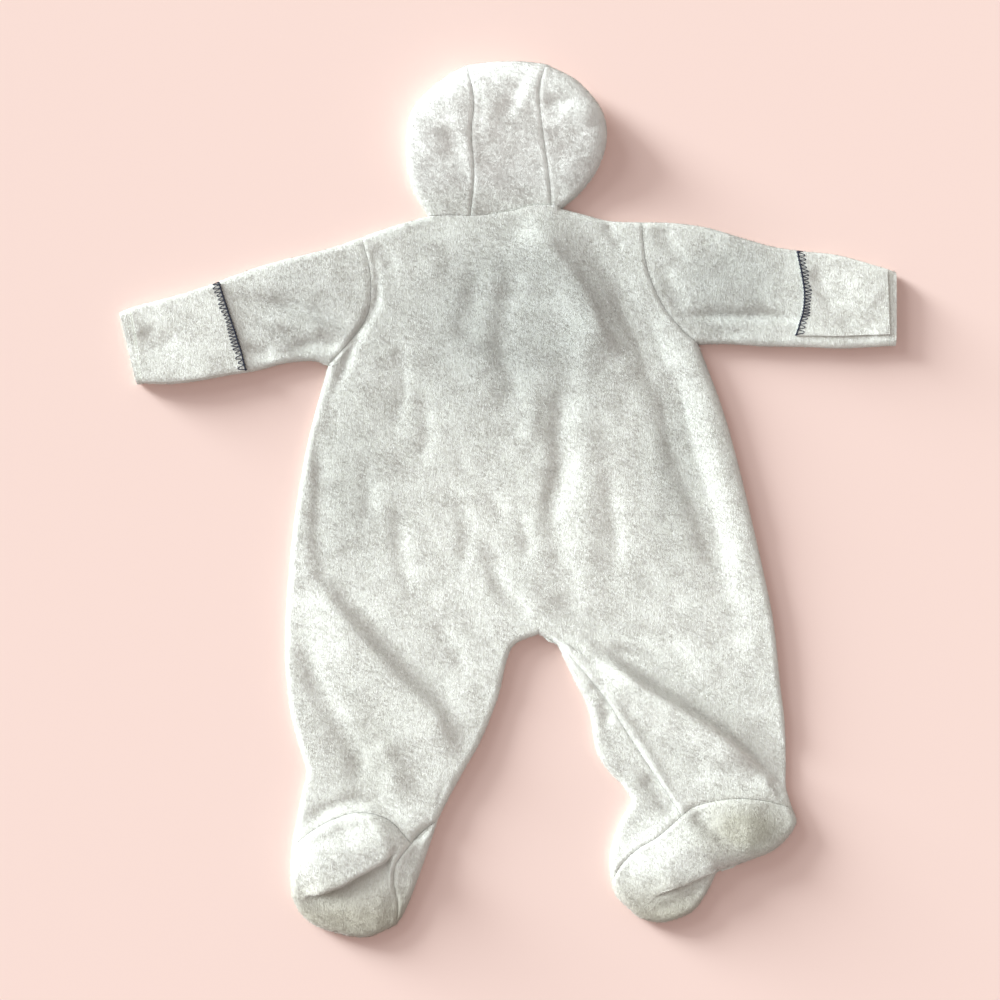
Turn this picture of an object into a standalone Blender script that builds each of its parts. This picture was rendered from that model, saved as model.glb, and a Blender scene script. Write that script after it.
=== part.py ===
"""Hooded footed onesie in cream fleece, laid flat with its back upwards, at real size.

+X runs to the right as seen from above, +Y from the feet to the hood, and +Z up
from the surface it lies on, which is z = 0. Sizes and tables are in millimetres.
Each panel is one wall of cloth over an outer surface: the back and the hood above,
the fronts below. The two meet edge to edge all round the outline.
"""

import math

import bmesh
import bpy
import numpy as np
from mathutils import Matrix, Vector

MM = 0.001

# Cloth, seams and the flat body
WALL = 2.2
SEAM_GAP = 0.3
HALF_GAP = SEAM_GAP / 2
SEAM_LEVEL = 3.6
FLAT_HEIGHT = 8.2
LEAST_HEIGHT = 6.4
EDGE_RADIUS = 8.0
UNDER_RADIUS = 5.0
VALLEY_DEPTH = 1.2
VALLEY_WIDTH = 3.5
FRONT_RIM = SEAM_LEVEL
BACK_RIM = SEAM_LEVEL + SEAM_GAP
EDGE_STEPS = (0.8, 2.4, 5.0, 9.0)
ON_EDGE = 0.03
MERGE = 0.02
MIDDLE_X = -1.0

# How finely the surfaces are divided: counts, and steps or shares from an edge
CROTCH_STEPS = (2.0, 5.0, 9.0)
UNDER_STEPS = (1.0, 5.0)
ARMHOLE_INNER = 5
UNDER_INNER = 3
SIDE_ROWS = 17
FRONT_SIDE_ROWS = 7
LEG_INNER = 9
LEG_ROWS = 12
FRONT_LEG_ROWS = 8
SHOULDER_COLUMNS = 8
FRONT_SHOULDER_COLUMNS = 4
CREASE_ROWS = 3
INSEAM_ROWS = 11
SOLE_SEAM_ROWS = 6
TURN_COLUMNS = (0, 0.06, 0.16, 0.32, 0.62, 1)
UPPER_ARM_ROWS = 7
FOREARM_ROWS = 6
HOOD_STRIP_COLUMNS = 7
HOOD_INNER = 7
HOOD_SIDE_COLUMNS = (0, 0.22, 0.44, 0.64, 0.8, 0.91, 0.97, 1)
HEM_COLUMNS = (0, 0.06, 0.2, 0.4, 0.65, 1)
ZIP_ROWS = 12
TOE_CORNER = 30

# Hood
HOOD_HEIGHT = 29.0
HOOD_RADIUS = 22.0
HOOD_RIM = 12.0
HOOD_UNDER = 14.0
HOOD_BLEND = 85.0

# Mittens, cuffs and soles
SOLE_WALL = 2.0
BEFORE_LIP = (0, 0.35, 0.7)
AFTER_LIP = (0.2, 0.5, 0.75, 0.9, 1)
LIP_SPREAD = 0.12
LIP_SPREAD_MOST = 0.6
SOLE_DROP = 12.0
MITT_WALL = 2.0
MITT_LIFT = 0.4

# Zip
ZIP_GAP = 3.8
ZIP_TOP = 199.0
ZIP_END = -80.0
ZIP_CLOSE = 14.0
TAPE_HALF = 10.0
CHAIN_HALF = 2.2
CHAIN_LOW = 1.3
TAPE_LOW = 2.5
TAPE_HIGH = 3.1
CHAIN_HIGH = 3.4
SLIDER_HALF = 3.5
SLIDER_LENGTH = 8.0
SLIDER_LOW = 0.2
SLIDER_HIGH = 1.0
SLIDER_TOP = 3.0
EAR_WIDTH = 0.9
EAR_LENGTH = 2.4
PULL_HALF = 2.2
PULL_LENGTH = 20.0
PULL_LOW = 0.25
PULL_HIGH = 0.95
PULL_PIVOT = 0.4

# Colours of the materials, linear
CREAM = (0.80, 0.77, 0.68, 1.0)
TAPE_CREAM = (0.72, 0.69, 0.60, 1.0)
METAL = (0.62, 0.62, 0.60, 1.0)

# Outline of the body, columns: left x, left y, right x, right y
ARMHOLES = ((-118, 211, 106, 223), (-111, 180, 110, 188), (-113, 150, 122, 158),
            (-127, 128, 138, 137), (-145, 108, 152, 125))
SIDES = ((-145, 108, 152, 125), (-161, 48, 173, 68), (-172, -16, 191, 0),
         (-178, -80, 209, -80), (-179, -112, 214, -112))

# Legs, columns: outer x, outer y, inner x, inner y
LEFT_LEG = ((-179, -112, 24, -107), (-179, -130, 5, -115), (-178, -144, -2, -129),
            (-175, -169, -9, -158), (-169, -193, -23, -193), (-162, -217, -36, -216),
            (-166, -236, -47, -236), (-174, -278, -57, -256))
RIGHT_LEG = ((214, -112, 24, -107), (216, -132, 38, -115), (218, -152, 48, -135),
             (221, -176, 64, -168), (222, -208, 70, -200), (222, -228, 80, -217),
             (225, -240, 92, -229), (227, -246, 99, -241))

# Sleeves from armhole to cuff, columns: upper x, upper y, lower x, lower y
LEFT_SLEEVE = ((-118, 211, -145, 108), (-140, 203.5, -158, 112), (-165, 197, -180, 110),
               (-190, 190.5, -203, 104), (-215, 182.5, -225, 100.5), (-240, 173, -249, 96),
               (-268, 164, -272, 93.5), (-302, 155, -293, 94))
RIGHT_SLEEVE = ((106, 223, 152, 125), (132, 222.5, 163, 125.5), (160, 218.5, 178, 125.5),
                (190, 209.5, 201, 124), (212, 203.5, 222, 123.5), (235, 200, 242, 123),
                (265, 196.5, 268, 122), (302, 186, 305, 124))
LEFT_CUFF = ((-302, 155, -293, 94), (-312, 151, -298, 93))
RIGHT_CUFF = ((302, 186, 305, 124), (310, 183, 310, 124))

# Lines seen from above, as x, y
LEFT_SHOULDER = ((-118, 211), (-99, 218), (-79, 224), (-65, 228))
RIGHT_SHOULDER = ((42, 234), (61, 229), (81, 224), (106, 223))
NECK_LEFT = ((-65, 228), (-49, 228.5), (-31, 228))
NECK_MIDDLE = ((-31, 228), (-14, 229), (4, 232), (20, 236), (34, 236.5))
NECK_RIGHT = ((34, 236.5), (38, 236), (42, 234))
FRONT_NECK_LEFT = ((-65, 228), (-52, 215), (-31, 206), (-6, 203))
FRONT_NECK_RIGHT = ((-6, 203), (9, 208), (24, 221), (42, 234))
CENTRE_LINE = ((-6, 203), (-6, 185), (-6, 165), (1, 110), (12, 20), (24, -107))
CENTRE_BACK = ((0, 231), (4, 136), (10, 56), (18, -24), (24, -107))
HIP_LEFT = ((-179, -112), (-60, -104), (2, -98), (16, -98.5), (24, -107))
HIP_RIGHT = ((24, -107), (33, -98.5), (48, -97), (120, -104), (214, -112))

# Left foot
LEFT_FOOT_OUTER = ((-174, -278), (-175, -297), (-174, -318))
LEFT_FOOT_INNER = ((-57, -256), (-68, -289), (-81, -324), (-90, -340))
LEFT_TOE = ((-174, -318), (-166, -332), (-150, -343), (-116, -350), (-90, -340))
LEFT_HEEL_SEAM = ((-174, -278), (-159, -265), (-139, -254), (-118, -249), (-96, -255),
                  (-78, -274))
LEFT_SOLE_SEAM = ((-78, -274), (-90, -290), (-92, -306), (-89, -322), (-90, -340))
LEFT_TURNED_SEAM = ((-57, -256), (-68, -264), (-78, -274), (-90, -290), (-92, -306),
                    (-89, -322), (-90, -340))

# Right leg and foot
RIGHT_INSEAM = ((38, -115), (47, -123), (59, -136), (78, -160), (97, -190), (114, -216),
                (138, -252))
RIGHT_SOLE_SEAM = ((82, -305), (90, -291), (103, -278), (119, -268), (138, -252))
RIGHT_HEEL_SEAM = ((138, -252), (148, -245), (165, -240), (185, -238), (206, -240),
                   (227, -246))
RIGHT_FOOT_INNER = ((99, -241), (88, -260), (81, -285), (82, -305))
RIGHT_TOE_SIDE = ((82, -305), (86, -317), (95, -326))
RIGHT_HEEL_EDGE = ((227, -246), (230, -260), (214, -279), (190, -289), (167, -296))
RIGHT_TOE = ((95, -326), (106, -335), (124, -338), (146, -330), (158, -315), (167, -296))

# Hood
HOOD_OUTLINE_LEFT = ((-65, 228), (-78, 252), (-82, 280), (-79, 308), (-64, 327), (-47, 340),
                     (-34, 347))
HOOD_CROWN = ((-34, 347), (-15, 349.5), (9, 350), (29, 348))
HOOD_OUTLINE_RIGHT = ((42, 234), (57, 247), (71, 266), (78, 288), (74, 311), (55, 334),
                      (29, 348))
HOOD_SEAM_LEFT = ((-31, 228), (-28, 260), (-30, 292), (-28, 318), (-34, 347))
HOOD_SEAM_RIGHT = ((34, 236.5), (31, 265), (25, 305), (24, 326), (29, 348))
HEM_LEFT = ((-6, 203), (-32, 215), (-50, 240), (-58, 270), (-55, 305), (-32, 325))
HEM_CROWN = ((-32, 325), (-3, 328), (27, 326))
HEM_RIGHT = ((-6, 203), (6, 219), (23, 243), (41, 270), (46, 304), (27, 326))

# Folds, columns: height, width on the left of the path, width on its right, path
BODY_FOLDS = (
    (2.2, 16, 12, ((2, 224), (18, 188), (46, 155), (66, 122), (62, 54), (58, -12), (62, -68))),
    (-1.8, 8, 12, ((28, 221), (54, 180), (78, 140), (104, 105))),
    (-2.2, 10, 9, ((90, 150), (114, 105), (132, 54), (147, -8), (161, -70), (186, -116))),
    (3.0, 10, 14, ((120, 138), (150, 98), (160, 48), (176, -20), (188, -78))),
    (-1.8, 9, 8, ((40, 99), (38, 33), (24, -2), (40, -44))),
    (-1.4, 8, 8, ((-26, 176), (-32, 152), (-42, 126))),
    (-1.4, 8, 8, ((1, 159), (-7, 120), (1, 45))),
    (-1.8, 9, 7, ((-47, 0), (-16, -32), (2, -60), (18, -89))),
    (-1.3, 7, 7, ((-44, 81), (-22, 62), (-10, 50))),
    (-1.6, 10, 9, ((-86, -12), (-86, -50), (-66, -101))),
    (1.8, 14, 14, ((-64, 150), (-66, 60), (-60, -30))),
    (-2.2, 12, 10, ((-158, 40), (-158, -40), (-122, -100), (-80, -144), (-35, -194))),
    (5.0, 10, 17, ((-168, -90), (-138, -134), (-104, -163), (-80, -205))),
    (-2.2, 8, 7, ((-166, -134), (-142, -174), (-120, -226))),
    (4.0, 10, 12, ((-110, -178), (-98, -206), (-92, -232))),
    (-2.2, 7, 10, ((58, -116), (99, -137), (150, -166), (196, -200), (216, -227))),
    (6.0, 7, 16, ((58, -127), (92, -145), (140, -172), (180, -199), (204, -222))),
    (-1.8, 8, 10, ((34, -77), (64, -98), (110, -106), (159, -137))),
    (2.4, 9, 9, ((60, -84), (112, -90), (168, -128))),
    (-1.6, 7, 7, ((118, -191), (152, -211), (189, -220))),
    (-2.0, 6, 6, ((68, -147), (78, -167), (81, -184))),
    (-1.4, 6, 7, ((75, 221), (87, 208))),
    (-1.4, 6, 6, ((-110, 204), (-98, 190))),
    (-1.8, 7, 7, ((114, -224), (126, -242), (138, -253))),
)
SLEEVE_FOLDS = (
    (-2.2, 8, 7, ((-215, 167), (-183, 158), (-151, 148), (-123, 131))),
    (1.8, 9, 9, ((-210, 178), (-176, 170), (-140, 160))),
    (-1.6, 5, 5, ((-213, 121), (-187, 116))),
    (-1.8, 6, 6, ((-175, 121), (-153, 128), (-131, 123))),
    (-2.0, 6, 6, ((139, 147), (170, 148), (209, 148), (231, 144))),
    (-2.0, 6, 8, ((122, 220), (130, 204), (142, 190))),
    (-2.0, 7, 7, ((122, 194), (128, 174), (140, 150))),
    (2.2, 9, 9, ((118, 206), (136, 178), (152, 164), (186, 158))),
    (-1.4, 9, 9, ((177, 176), (209, 160))),
)
FOOT_RISES = (
    (16.0, 24, 24, ((-172, -298), (-150, -291), (-125, -284), (-100, -274), (-84, -262))),
    (16.0, 22, 24, ((92, -308), (118, -292), (150, -276), (190, -264), (216, -262))),
)
FOOT_DIPS = (
    (-5.0, 9, 10, ((140, -252), (158, -264), (184, -276))),
)
HOOD_FOLDS = (
    (-4.0, 8, 10, ((-63, 312), (-64, 286))),
    (-3.0, 8, 8, ((-46, 300), (-50, 268), (-38, 240))),
    (-2.5, 9, 9, ((0, 338), (2, 300))),
    (-3.0, 6, 7, ((27, 317), (50, 316))),
    (-3.0, 9, 9, ((44, 292), (58, 284))),
    (-4.0, 9, 12, ((40, 240), (56, 258), (66, 280))),
)

# Overhanging fold of a sole, columns: run out from the lip, share of the drop left; and
# the width on the right of a foot's rise up to that lip
HEEL_REACH = 60
LIP_PROFILE = ((-10, 1.0), (-5, 0.99), (-1.4, 0.9), (0, 0.7), (-1.2, 0.5), (-4, 0.4),
               (-7, 0.2), (-4.5, 0.03), (1.0, 0.0))
LIP_START = -10.0
LIP_END = 1.0

# Lip of each sole, columns: share of the sole's breadth, share of the way from the seam
# to the outline at which the lip lies, and how far the sole is folded there
LEFT_LIP = ((0, 0.9, 0), (0.04, 0.88, 0.8), (0.1, 0.83, 1), (0.25, 0.71, 1),
            (0.5, 0.59, 1), (0.75, 0.39, 1), (0.9, 0.24, 1), (1, 0.14, 0))
RIGHT_LIP = ((0, 0.75, 0), (0.16, 0.74, 0), (0.2, 0.72, 0.8), (0.24, 0.68, 1),
             (0.28, 0.64, 1), (0.35, 0.65, 1), (0.42, 0.7, 1), (0.49, 0.8, 1),
             (0.54, 0.9, 0.6), (0.58, 0.95, 0), (1, 0.95, 0))

# Free edge of each mitten, and the sleeve's columns that the mitten leaves bare below
LEFT_MITT_EDGE = ((-210.5, 103.5), (-218, 132), (-226, 156), (-232, 177))
LEFT_MITT_BARE = 2
RIGHT_MITT_EDGE = ((226, 123.5), (233.5, 145), (236, 162), (234, 180), (231, 200.5))
RIGHT_MITT_BARE = 4
MITT_BARE_ABOVE = 2


def smooth(points, steps=10):
    """A smooth line through points, as many short straights."""
    points = np.array(points, float)
    if len(points) == 2:
        return points
    ends = np.vstack((2 * points[0] - points[1], points, 2 * points[-1] - points[-2]))
    line = []
    for a, b, c, d in zip(ends, ends[1:], ends[2:], ends[3:]):
        for t in np.arange(steps) / steps:
            line.append(0.5 * (2 * b + (c - a) * t + (2 * a - 5 * b + 4 * c - d) * t * t
                               + (3 * b - a - 3 * c + d) * t ** 3))
    line.append(points[-1])
    return np.array(line)


def chain(*lines):
    """Smooth lines joined end to end, with their corners kept."""
    parts = [np.array(smooth(line)) for line in lines]
    return np.vstack([parts[0]] + [part[1:] for part in parts[1:]])


def columns(table, first):
    """Two neighbouring columns of a table as points."""
    return [row[first:first + 2] for row in table]


def length(line):
    return np.hypot(*np.diff(line, axis=0).T).sum()


def read(line, shares):
    """Points at shares of a line's length."""
    run = np.concatenate(([0], np.cumsum(np.hypot(*np.diff(line, axis=0).T))))
    at = np.asarray(shares) * run[-1]
    return np.stack((np.interp(at, run, line[:, 0]), np.interp(at, run, line[:, 1])), -1)


def moved(line, distance):
    """A line moved to the left of its own direction."""
    way = np.gradient(line, axis=0)
    way /= np.linalg.norm(way, axis=1)[:, None]
    return line + distance * np.stack((-way[:, 1], way[:, 0]), -1)


def shares(total, inner, first=EDGE_STEPS, last=EDGE_STEPS):
    """Shares of a length: the given steps from each end, and even between."""
    start = [0.0] + [step / total for step in first]
    stop = [1.0 - step / total for step in reversed(last)] + [1.0]
    middle = np.linspace(start[-1], stop[0], inner + 2)[1:-1]
    return np.concatenate((start, middle, stop))


def joined(*runs):
    """Runs of points end to end, each starting where the last one ends."""
    return np.vstack([runs[0]] + [run[1:] for run in runs[1:]])


def points(*pairs):
    return np.array(pairs, float)


def even(line, count):
    """Points at even steps along a line."""
    return read(line, np.linspace(0, 1, count))


def distance(points, lines):
    """Distance from each point to the nearest of some lines."""
    flat = points.reshape(-1, 2)
    best = np.full(len(flat), np.inf)
    for line in lines:
        start = line[:-1]
        way = line[1:] - start
        square = np.maximum((way ** 2).sum(1), 1e-9)
        along = ((flat[:, None] - start) * way).sum(2) / square
        near = start + np.clip(along, 0, 1)[:, :, None] * way
        gap = np.linalg.norm(flat[:, None] - near, axis=2)
        best = np.minimum(best, gap.min(1))
    return best.reshape(points.shape[:-1])


def fold_height(points, folds):
    """Sum of the folds, each fading along its ends and to its two sides."""
    flat = points.reshape(-1, 2)
    total = np.zeros(len(flat))
    for height, left_width, right_width, path in folds:
        line = smooth(path, 6)
        start = line[:-1]
        way = line[1:] - start
        square = (way ** 2).sum(1)
        along = ((flat[:, None] - start) * way).sum(2) / square
        near = start + np.clip(along, 0, 1)[:, :, None] * way
        gaps = np.linalg.norm(flat[:, None] - near, axis=2)
        pick = gaps.argmin(1)
        rows = np.arange(len(flat))
        off = flat - near[rows, pick]
        side = way[pick, 0] * off[:, 1] - way[pick, 1] * off[:, 0]
        width = np.where(side > 0, left_width, right_width)
        share = (pick + np.clip(along[rows, pick], 0, 1)) / len(way)
        fade = np.clip(np.minimum(share, 1 - share) / 0.25, 0, 1)
        fade = 0.25 + 0.75 * fade * fade * (3 - 2 * fade)
        total += height * fade * np.exp(-(gaps[rows, pick] / width) ** 2)
    return total.reshape(points.shape[:-1])


def rounded(gap, radius):
    """Rise of a round edge, 0 on the outline and 1 from radius on."""
    share = np.clip((gap - ON_EDGE) / radius, 0, 1)
    return np.sqrt(1 - (1 - share) ** 2)


def ease(value):
    value = np.clip(value, 0, 1)
    return value * value * (3 - 2 * value)


# The outline's edges, the seams on top and the hood's edge, as lines
OUTLINE = [
    chain(columns(LEFT_SLEEVE, 0), columns(LEFT_CUFF, 0)),
    chain(columns(LEFT_SLEEVE, 2), columns(LEFT_CUFF, 2)),
    chain(columns(RIGHT_SLEEVE, 0), columns(RIGHT_CUFF, 0)),
    chain(columns(RIGHT_SLEEVE, 2), columns(RIGHT_CUFF, 2)),
    smooth(LEFT_SHOULDER), smooth(RIGHT_SHOULDER),
    chain(columns(SIDES, 0), columns(LEFT_LEG, 0), LEFT_FOOT_OUTER, LEFT_TOE),
    chain(columns(LEFT_LEG, 2), LEFT_FOOT_INNER),
    chain(columns(SIDES, 2), columns(RIGHT_LEG, 0), RIGHT_HEEL_EDGE),
    chain(columns(RIGHT_LEG, 2), RIGHT_FOOT_INNER, RIGHT_TOE_SIDE, RIGHT_TOE),
]
TOP_SEAMS = [
    smooth(columns(ARMHOLES, 0)), smooth(columns(ARMHOLES, 2)),
    smooth(RIGHT_INSEAM), smooth(RIGHT_SOLE_SEAM), smooth(RIGHT_HEEL_SEAM),
    smooth(LEFT_HEEL_SEAM), smooth(LEFT_TURNED_SEAM),
]
NECK = chain(NECK_LEFT, NECK_MIDDLE, NECK_RIGHT)
HOOD_EDGE = [chain(HOOD_OUTLINE_LEFT, HOOD_CROWN, HOOD_OUTLINE_RIGHT[::-1])]
HOOD_SEAMS = [smooth(HOOD_SEAM_LEFT), smooth(HOOD_SEAM_RIGHT)]


def body_top(points, folds=BODY_FOLDS + SLEEVE_FOLDS, rises=FOOT_RISES + FOOT_DIPS):
    """Height of the upper outer surface over body, sleeves, legs and feet."""
    full = np.maximum(FLAT_HEIGHT + fold_height(points, folds), LEAST_HEIGHT)
    full = full + fold_height(points, rises)
    radius = EDGE_RADIUS + 0.6 * (full - FLAT_HEIGHT)
    height = BACK_RIM + (full - BACK_RIM) * rounded(distance(points, OUTLINE), radius)
    valley = np.exp(-(distance(points, TOP_SEAMS) / VALLEY_WIDTH) ** 2)
    return height - VALLEY_DEPTH * valley * rounded(distance(points, OUTLINE), radius)


def toe_top(points):
    """Height of the lower half of a folded sole."""
    return body_top(points, (), ()) + 1.5 * rounded(distance(points, OUTLINE), 20)


def heel_top(points):
    """Height of the upper half of a folded sole, full up to its lip."""
    rises = [(height, left, HEEL_REACH, path) for height, left, right, path in FOOT_RISES]
    return body_top(points, rises=rises + list(FOOT_DIPS))


def body_under(points):
    """Height of the lower outer surface: flat, with its edges turned up to the seam."""
    return FRONT_RIM * (1 - rounded(distance(points, OUTLINE), UNDER_RADIUS))


def hood_share(points):
    """How far the hood has risen from the neck seam, 0 to 1."""
    share = np.clip(distance(points, [NECK]) / HOOD_BLEND, 0, 1)
    return (share + ease(share)) / 2


def hood_rim(points):
    """Height of the hood's widest line, which comes down to the neck's corners."""
    share = hood_share(points)
    return BACK_RIM + (HOOD_RIM - BACK_RIM) * share


def hood_top(points):
    """Height of the hood's dome, which starts from the neck seam."""
    share = hood_share(points)
    edge = rounded(distance(points, HOOD_EDGE), HOOD_RADIUS)
    low_edge = rounded(distance(points, HOOD_EDGE), EDGE_RADIUS)
    rim = hood_rim(points)
    dome = rim + (HOOD_HEIGHT - rim) * edge + fold_height(points, HOOD_FOLDS) * edge
    seam = np.exp(-(distance(points, HOOD_SEAMS) / VALLEY_WIDTH) ** 2)
    neck = BACK_RIM + (FLAT_HEIGHT - BACK_RIM) * low_edge
    return neck + (dome - neck) * share - VALLEY_DEPTH * seam * edge


def hood_under(points):
    """Height of the hood's lower outer surface, which ends at the face opening."""
    share = hood_share(points)
    radius = UNDER_RADIUS + (HOOD_UNDER - UNDER_RADIUS) * share
    return hood_rim(points) * (1 - rounded(distance(points, HOOD_EDGE), radius))


def run_shares(run):
    """Share of a run's length at each of its points."""
    steps = np.hypot(*np.diff(run, axis=0).T)
    return np.concatenate(([0], np.cumsum(steps))) / max(steps.sum(), 1e-6)


def coons(left, right, top, bottom, down=None):
    """Points of a four-sided patch that keeps the points of its four edges; down gives
    the shares of its rows where both sides are single points."""
    if down is None:
        down = (run_shares(left) + run_shares(right)) / 2
        if np.ptp(right, axis=0).max() < 1e-6:
            down = run_shares(left)
        if np.ptp(left, axis=0).max() < 1e-6:
            down = run_shares(right)
    v = np.array(down)[:, None, None]
    u_top = run_shares(top) if np.ptp(top, axis=0).max() > 1e-6 else run_shares(bottom)
    u_end = run_shares(bottom) if np.ptp(bottom, axis=0).max() > 1e-6 else u_top
    u = (1 - v) * u_top[None, :, None] + v * u_end[None, :, None]
    sides = (1 - u) * left[:, None] + u * right[:, None]
    ends = (1 - v) * top[None] + v * bottom[None]
    corners = ((1 - v) * ((1 - u) * top[0] + u * top[-1])
               + v * ((1 - u) * bottom[0] + u * bottom[-1]))
    return sides + ends - corners


def raised(points, heights):
    """Points seen from above with their heights."""
    return np.concatenate((points, heights[..., None]), -1)


def add_grid(mesh, points, up, closed):
    """Add rows of points as faces that look up or down; a tube's first half counts."""
    half = points[:, :points.shape[1] // 2] if closed else points
    across = np.diff(half, axis=1)[:-1]
    down = np.diff(half, axis=0)[:, :-1]
    turn = (across[..., 0] * down[..., 1] - across[..., 1] * down[..., 0]).sum()
    if (turn > 0) != up:
        points = points[:, ::-1]
    rows = [[mesh.verts.new(point * MM) for point in row] for row in points]
    for upper, lower in zip(rows, rows[1:]):
        pairs = list(zip(upper, upper[1:], lower[1:], lower))
        if closed:
            pairs.append((upper[-1], upper[0], lower[0], lower[-1]))
        for corners in pairs:
            mesh.faces.new(corners)


def add_object(name, mesh, material):
    data = bpy.data.meshes.new(name)
    mesh.to_mesh(data)
    mesh.free()
    data.materials.append(material)
    data.transform(Matrix.Translation((-MIDDLE_X * MM, 0, 0)))
    data.shade_smooth()
    data.set_sharp_from_angle(angle=math.radians(50))
    thing = bpy.data.objects.new(name, data)
    bpy.data.collections["onesie"].objects.link(thing)
    return thing


def inward(vert, wall, level):
    """Step from a point of the outer surface to the wall's inner one.

    Rims on the outline stay level, no wall crosses its own seams, and with level set
    the walls of upper and lower panels keep to their own side of the outline."""
    height = vert.co.z / MM
    step = -vert.normal * wall * MM
    edges = [edge for edge in vert.link_edges if edge.is_boundary]
    if edges and min(abs(height - FRONT_RIM), abs(height - BACK_RIM)) < 1e-3:
        step.z = 0
    for edge in edges:
        way = edge.verts[1].co - edge.verts[0].co
        out = Vector((way.y, -way.x, 0)).normalized()
        if out.dot(edge.link_faces[0].calc_center_median() - edge.verts[0].co) > 0:
            out = -out
        step -= out * max(step.dot(out), 0)
    if level and height > SEAM_LEVEL + HALF_GAP:
        step.z = max(step.z, (BACK_RIM - height) * MM)
    elif level:
        step.z = min(step.z, (FRONT_RIM - height) * MM)
    return step


def cloth(name, tops, unders, material, wall=WALL, closed=False, level=False):
    """One piece of cloth: outer surfaces joined where they meet, and a wall inside."""
    mesh = bmesh.new()
    for points in tops:
        add_grid(mesh, points, True, closed)
    for points in unders:
        add_grid(mesh, points, False, closed)
    bmesh.ops.remove_doubles(mesh, verts=mesh.verts, dist=MERGE * MM)
    mesh.normal_update()
    steps = {tuple(vert.co): inward(vert, wall, level) for vert in mesh.verts}
    copy = bmesh.ops.extrude_face_region(mesh, geom=mesh.faces[:], use_keep_orig=True)
    for item in copy["geom"]:
        if isinstance(item, bmesh.types.BMVert):
            item.co += steps[tuple(item.co)]
    bmesh.ops.recalc_face_normals(mesh, faces=mesh.faces)
    return add_object(name, mesh, material)


def make_material(name, colour, roughness, metallic=0.0):
    material = bpy.data.materials.new(name)
    material.use_nodes = True
    shader = material.node_tree.nodes["Principled BSDF"]
    shader.inputs["Base Color"].default_value = colour
    shader.inputs["Roughness"].default_value = roughness
    shader.inputs["Metallic"].default_value = metallic
    return material


def over_shares(line):
    """Shares along an armhole or a cuff on the upper side."""
    return shares(length(line), ARMHOLE_INNER)


def under_shares(line):
    """Shares along an armhole or a cuff on the lower side."""
    return shares(length(line), UNDER_INNER, UNDER_STEPS, UNDER_STEPS)


def torso_side(side, spread, rows):
    """Side edge of the torso: half a seam off the armhole, then the side itself."""
    hole = smooth(columns(ARMHOLES, 1 + side))
    arm = read(moved(hole, -side * HALF_GAP), spread(hole))
    arm[-1] = SIDES[0][1 + side:3 + side]
    return joined(arm, even(smooth(columns(SIDES, 1 + side)), rows))


def neck_runs():
    """Points along the neck seam for the left, middle and right of the hood."""
    return (read(smooth(NECK_LEFT), 1 - np.array(HOOD_SIDE_COLUMNS)[::-1]),
            even(smooth(NECK_MIDDLE), HOOD_STRIP_COLUMNS),
            read(smooth(NECK_RIGHT), HOOD_SIDE_COLUMNS))


def hip_shares(line, crotch_last, inner=LEG_INNER):
    if crotch_last:
        return shares(length(line), inner, EDGE_STEPS, CROTCH_STEPS)
    return shares(length(line), inner, CROTCH_STEPS, EDGE_STEPS)


def make_back(material):
    """Back: two halves of the torso and two legs, joined along the centre and hips."""
    left = torso_side(-1, over_shares, SIDE_ROWS)
    right = torso_side(1, over_shares, SIDE_ROWS)
    neck_left, neck_middle, neck_right = (moved(run, -HALF_GAP) for run in neck_runs())
    split = HOOD_STRIP_COLUMNS // 2
    shoulder_left = even(smooth(LEFT_SHOULDER), SHOULDER_COLUMNS)
    shoulder_right = even(smooth(RIGHT_SHOULDER), len_right_shoulder())
    shoulder_left[-1] = neck_left[0]
    top_left = joined(shoulder_left, neck_left, neck_middle[:split + 1])
    top_right = joined(neck_middle[split:], neck_right, shoulder_right)
    top_left[0] = left[0]
    top_right[-1] = right[0]
    hip_left = read(smooth(HIP_LEFT), hip_shares(smooth(HIP_LEFT), True))
    hip_right = read(smooth(HIP_RIGHT), hip_shares(smooth(HIP_RIGHT), False))
    middle = read(joined(top_left[-1:], smooth(CENTRE_BACK)[1:]), run_shares(left))
    heel_left = moved(left_heel_run(), HALF_GAP)
    crease = moved(left_crease_run(), HALF_GAP)
    outer_left = even(smooth(columns(LEFT_LEG, 0)), LEG_ROWS)
    outer_left[-1, 1] += HALF_GAP
    heel_left[0] = outer_left[-1]
    crease[-1] = LEFT_TURNED_SEAM[0]
    crease[0] = heel_left[-1]
    heel_right = moved(right_heel_run(), HALF_GAP)
    inseam = moved(even(smooth(RIGHT_INSEAM), INSEAM_ROWS), HALF_GAP)
    inseam[0] = RIGHT_INSEAM[0]
    outer_right = even(smooth(columns(RIGHT_LEG, 0)), INSEAM_ROWS + 1)
    outer_right[-1, 1] += HALF_GAP
    heel_right[0] = inseam[-1]
    heel_right[-1] = outer_right[-1]
    flat = (
        coons(left, middle, top_left, hip_left),
        coons(middle, right, top_right, hip_right),
        coons(outer_left, even(smooth(columns(LEFT_LEG, 2)), LEG_ROWS),
              hip_left, joined(heel_left, crease)),
        coons(joined(points(HIP_RIGHT[0], RIGHT_INSEAM[0]), inseam), outer_right,
              hip_right, heel_right),
    )
    cloth("back", [raised(patch, body_top(patch)) for patch in flat], (), material,
          level=True)


def len_right_shoulder():
    """Columns left for the right shoulder, so that both ends of that half match."""
    total = LEG_INNER + len(EDGE_STEPS) + len(CROTCH_STEPS) + 2
    return total - (HOOD_STRIP_COLUMNS // 2) - (len(HOOD_SIDE_COLUMNS) - 1)


def left_heel_run():
    total = LEG_INNER + len(EDGE_STEPS) + len(CROTCH_STEPS) + 2
    line = smooth(LEFT_HEEL_SEAM)
    inner = total - CREASE_ROWS - 2 - len(EDGE_STEPS)
    return read(line, shares(length(line), inner, EDGE_STEPS, ()))


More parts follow.
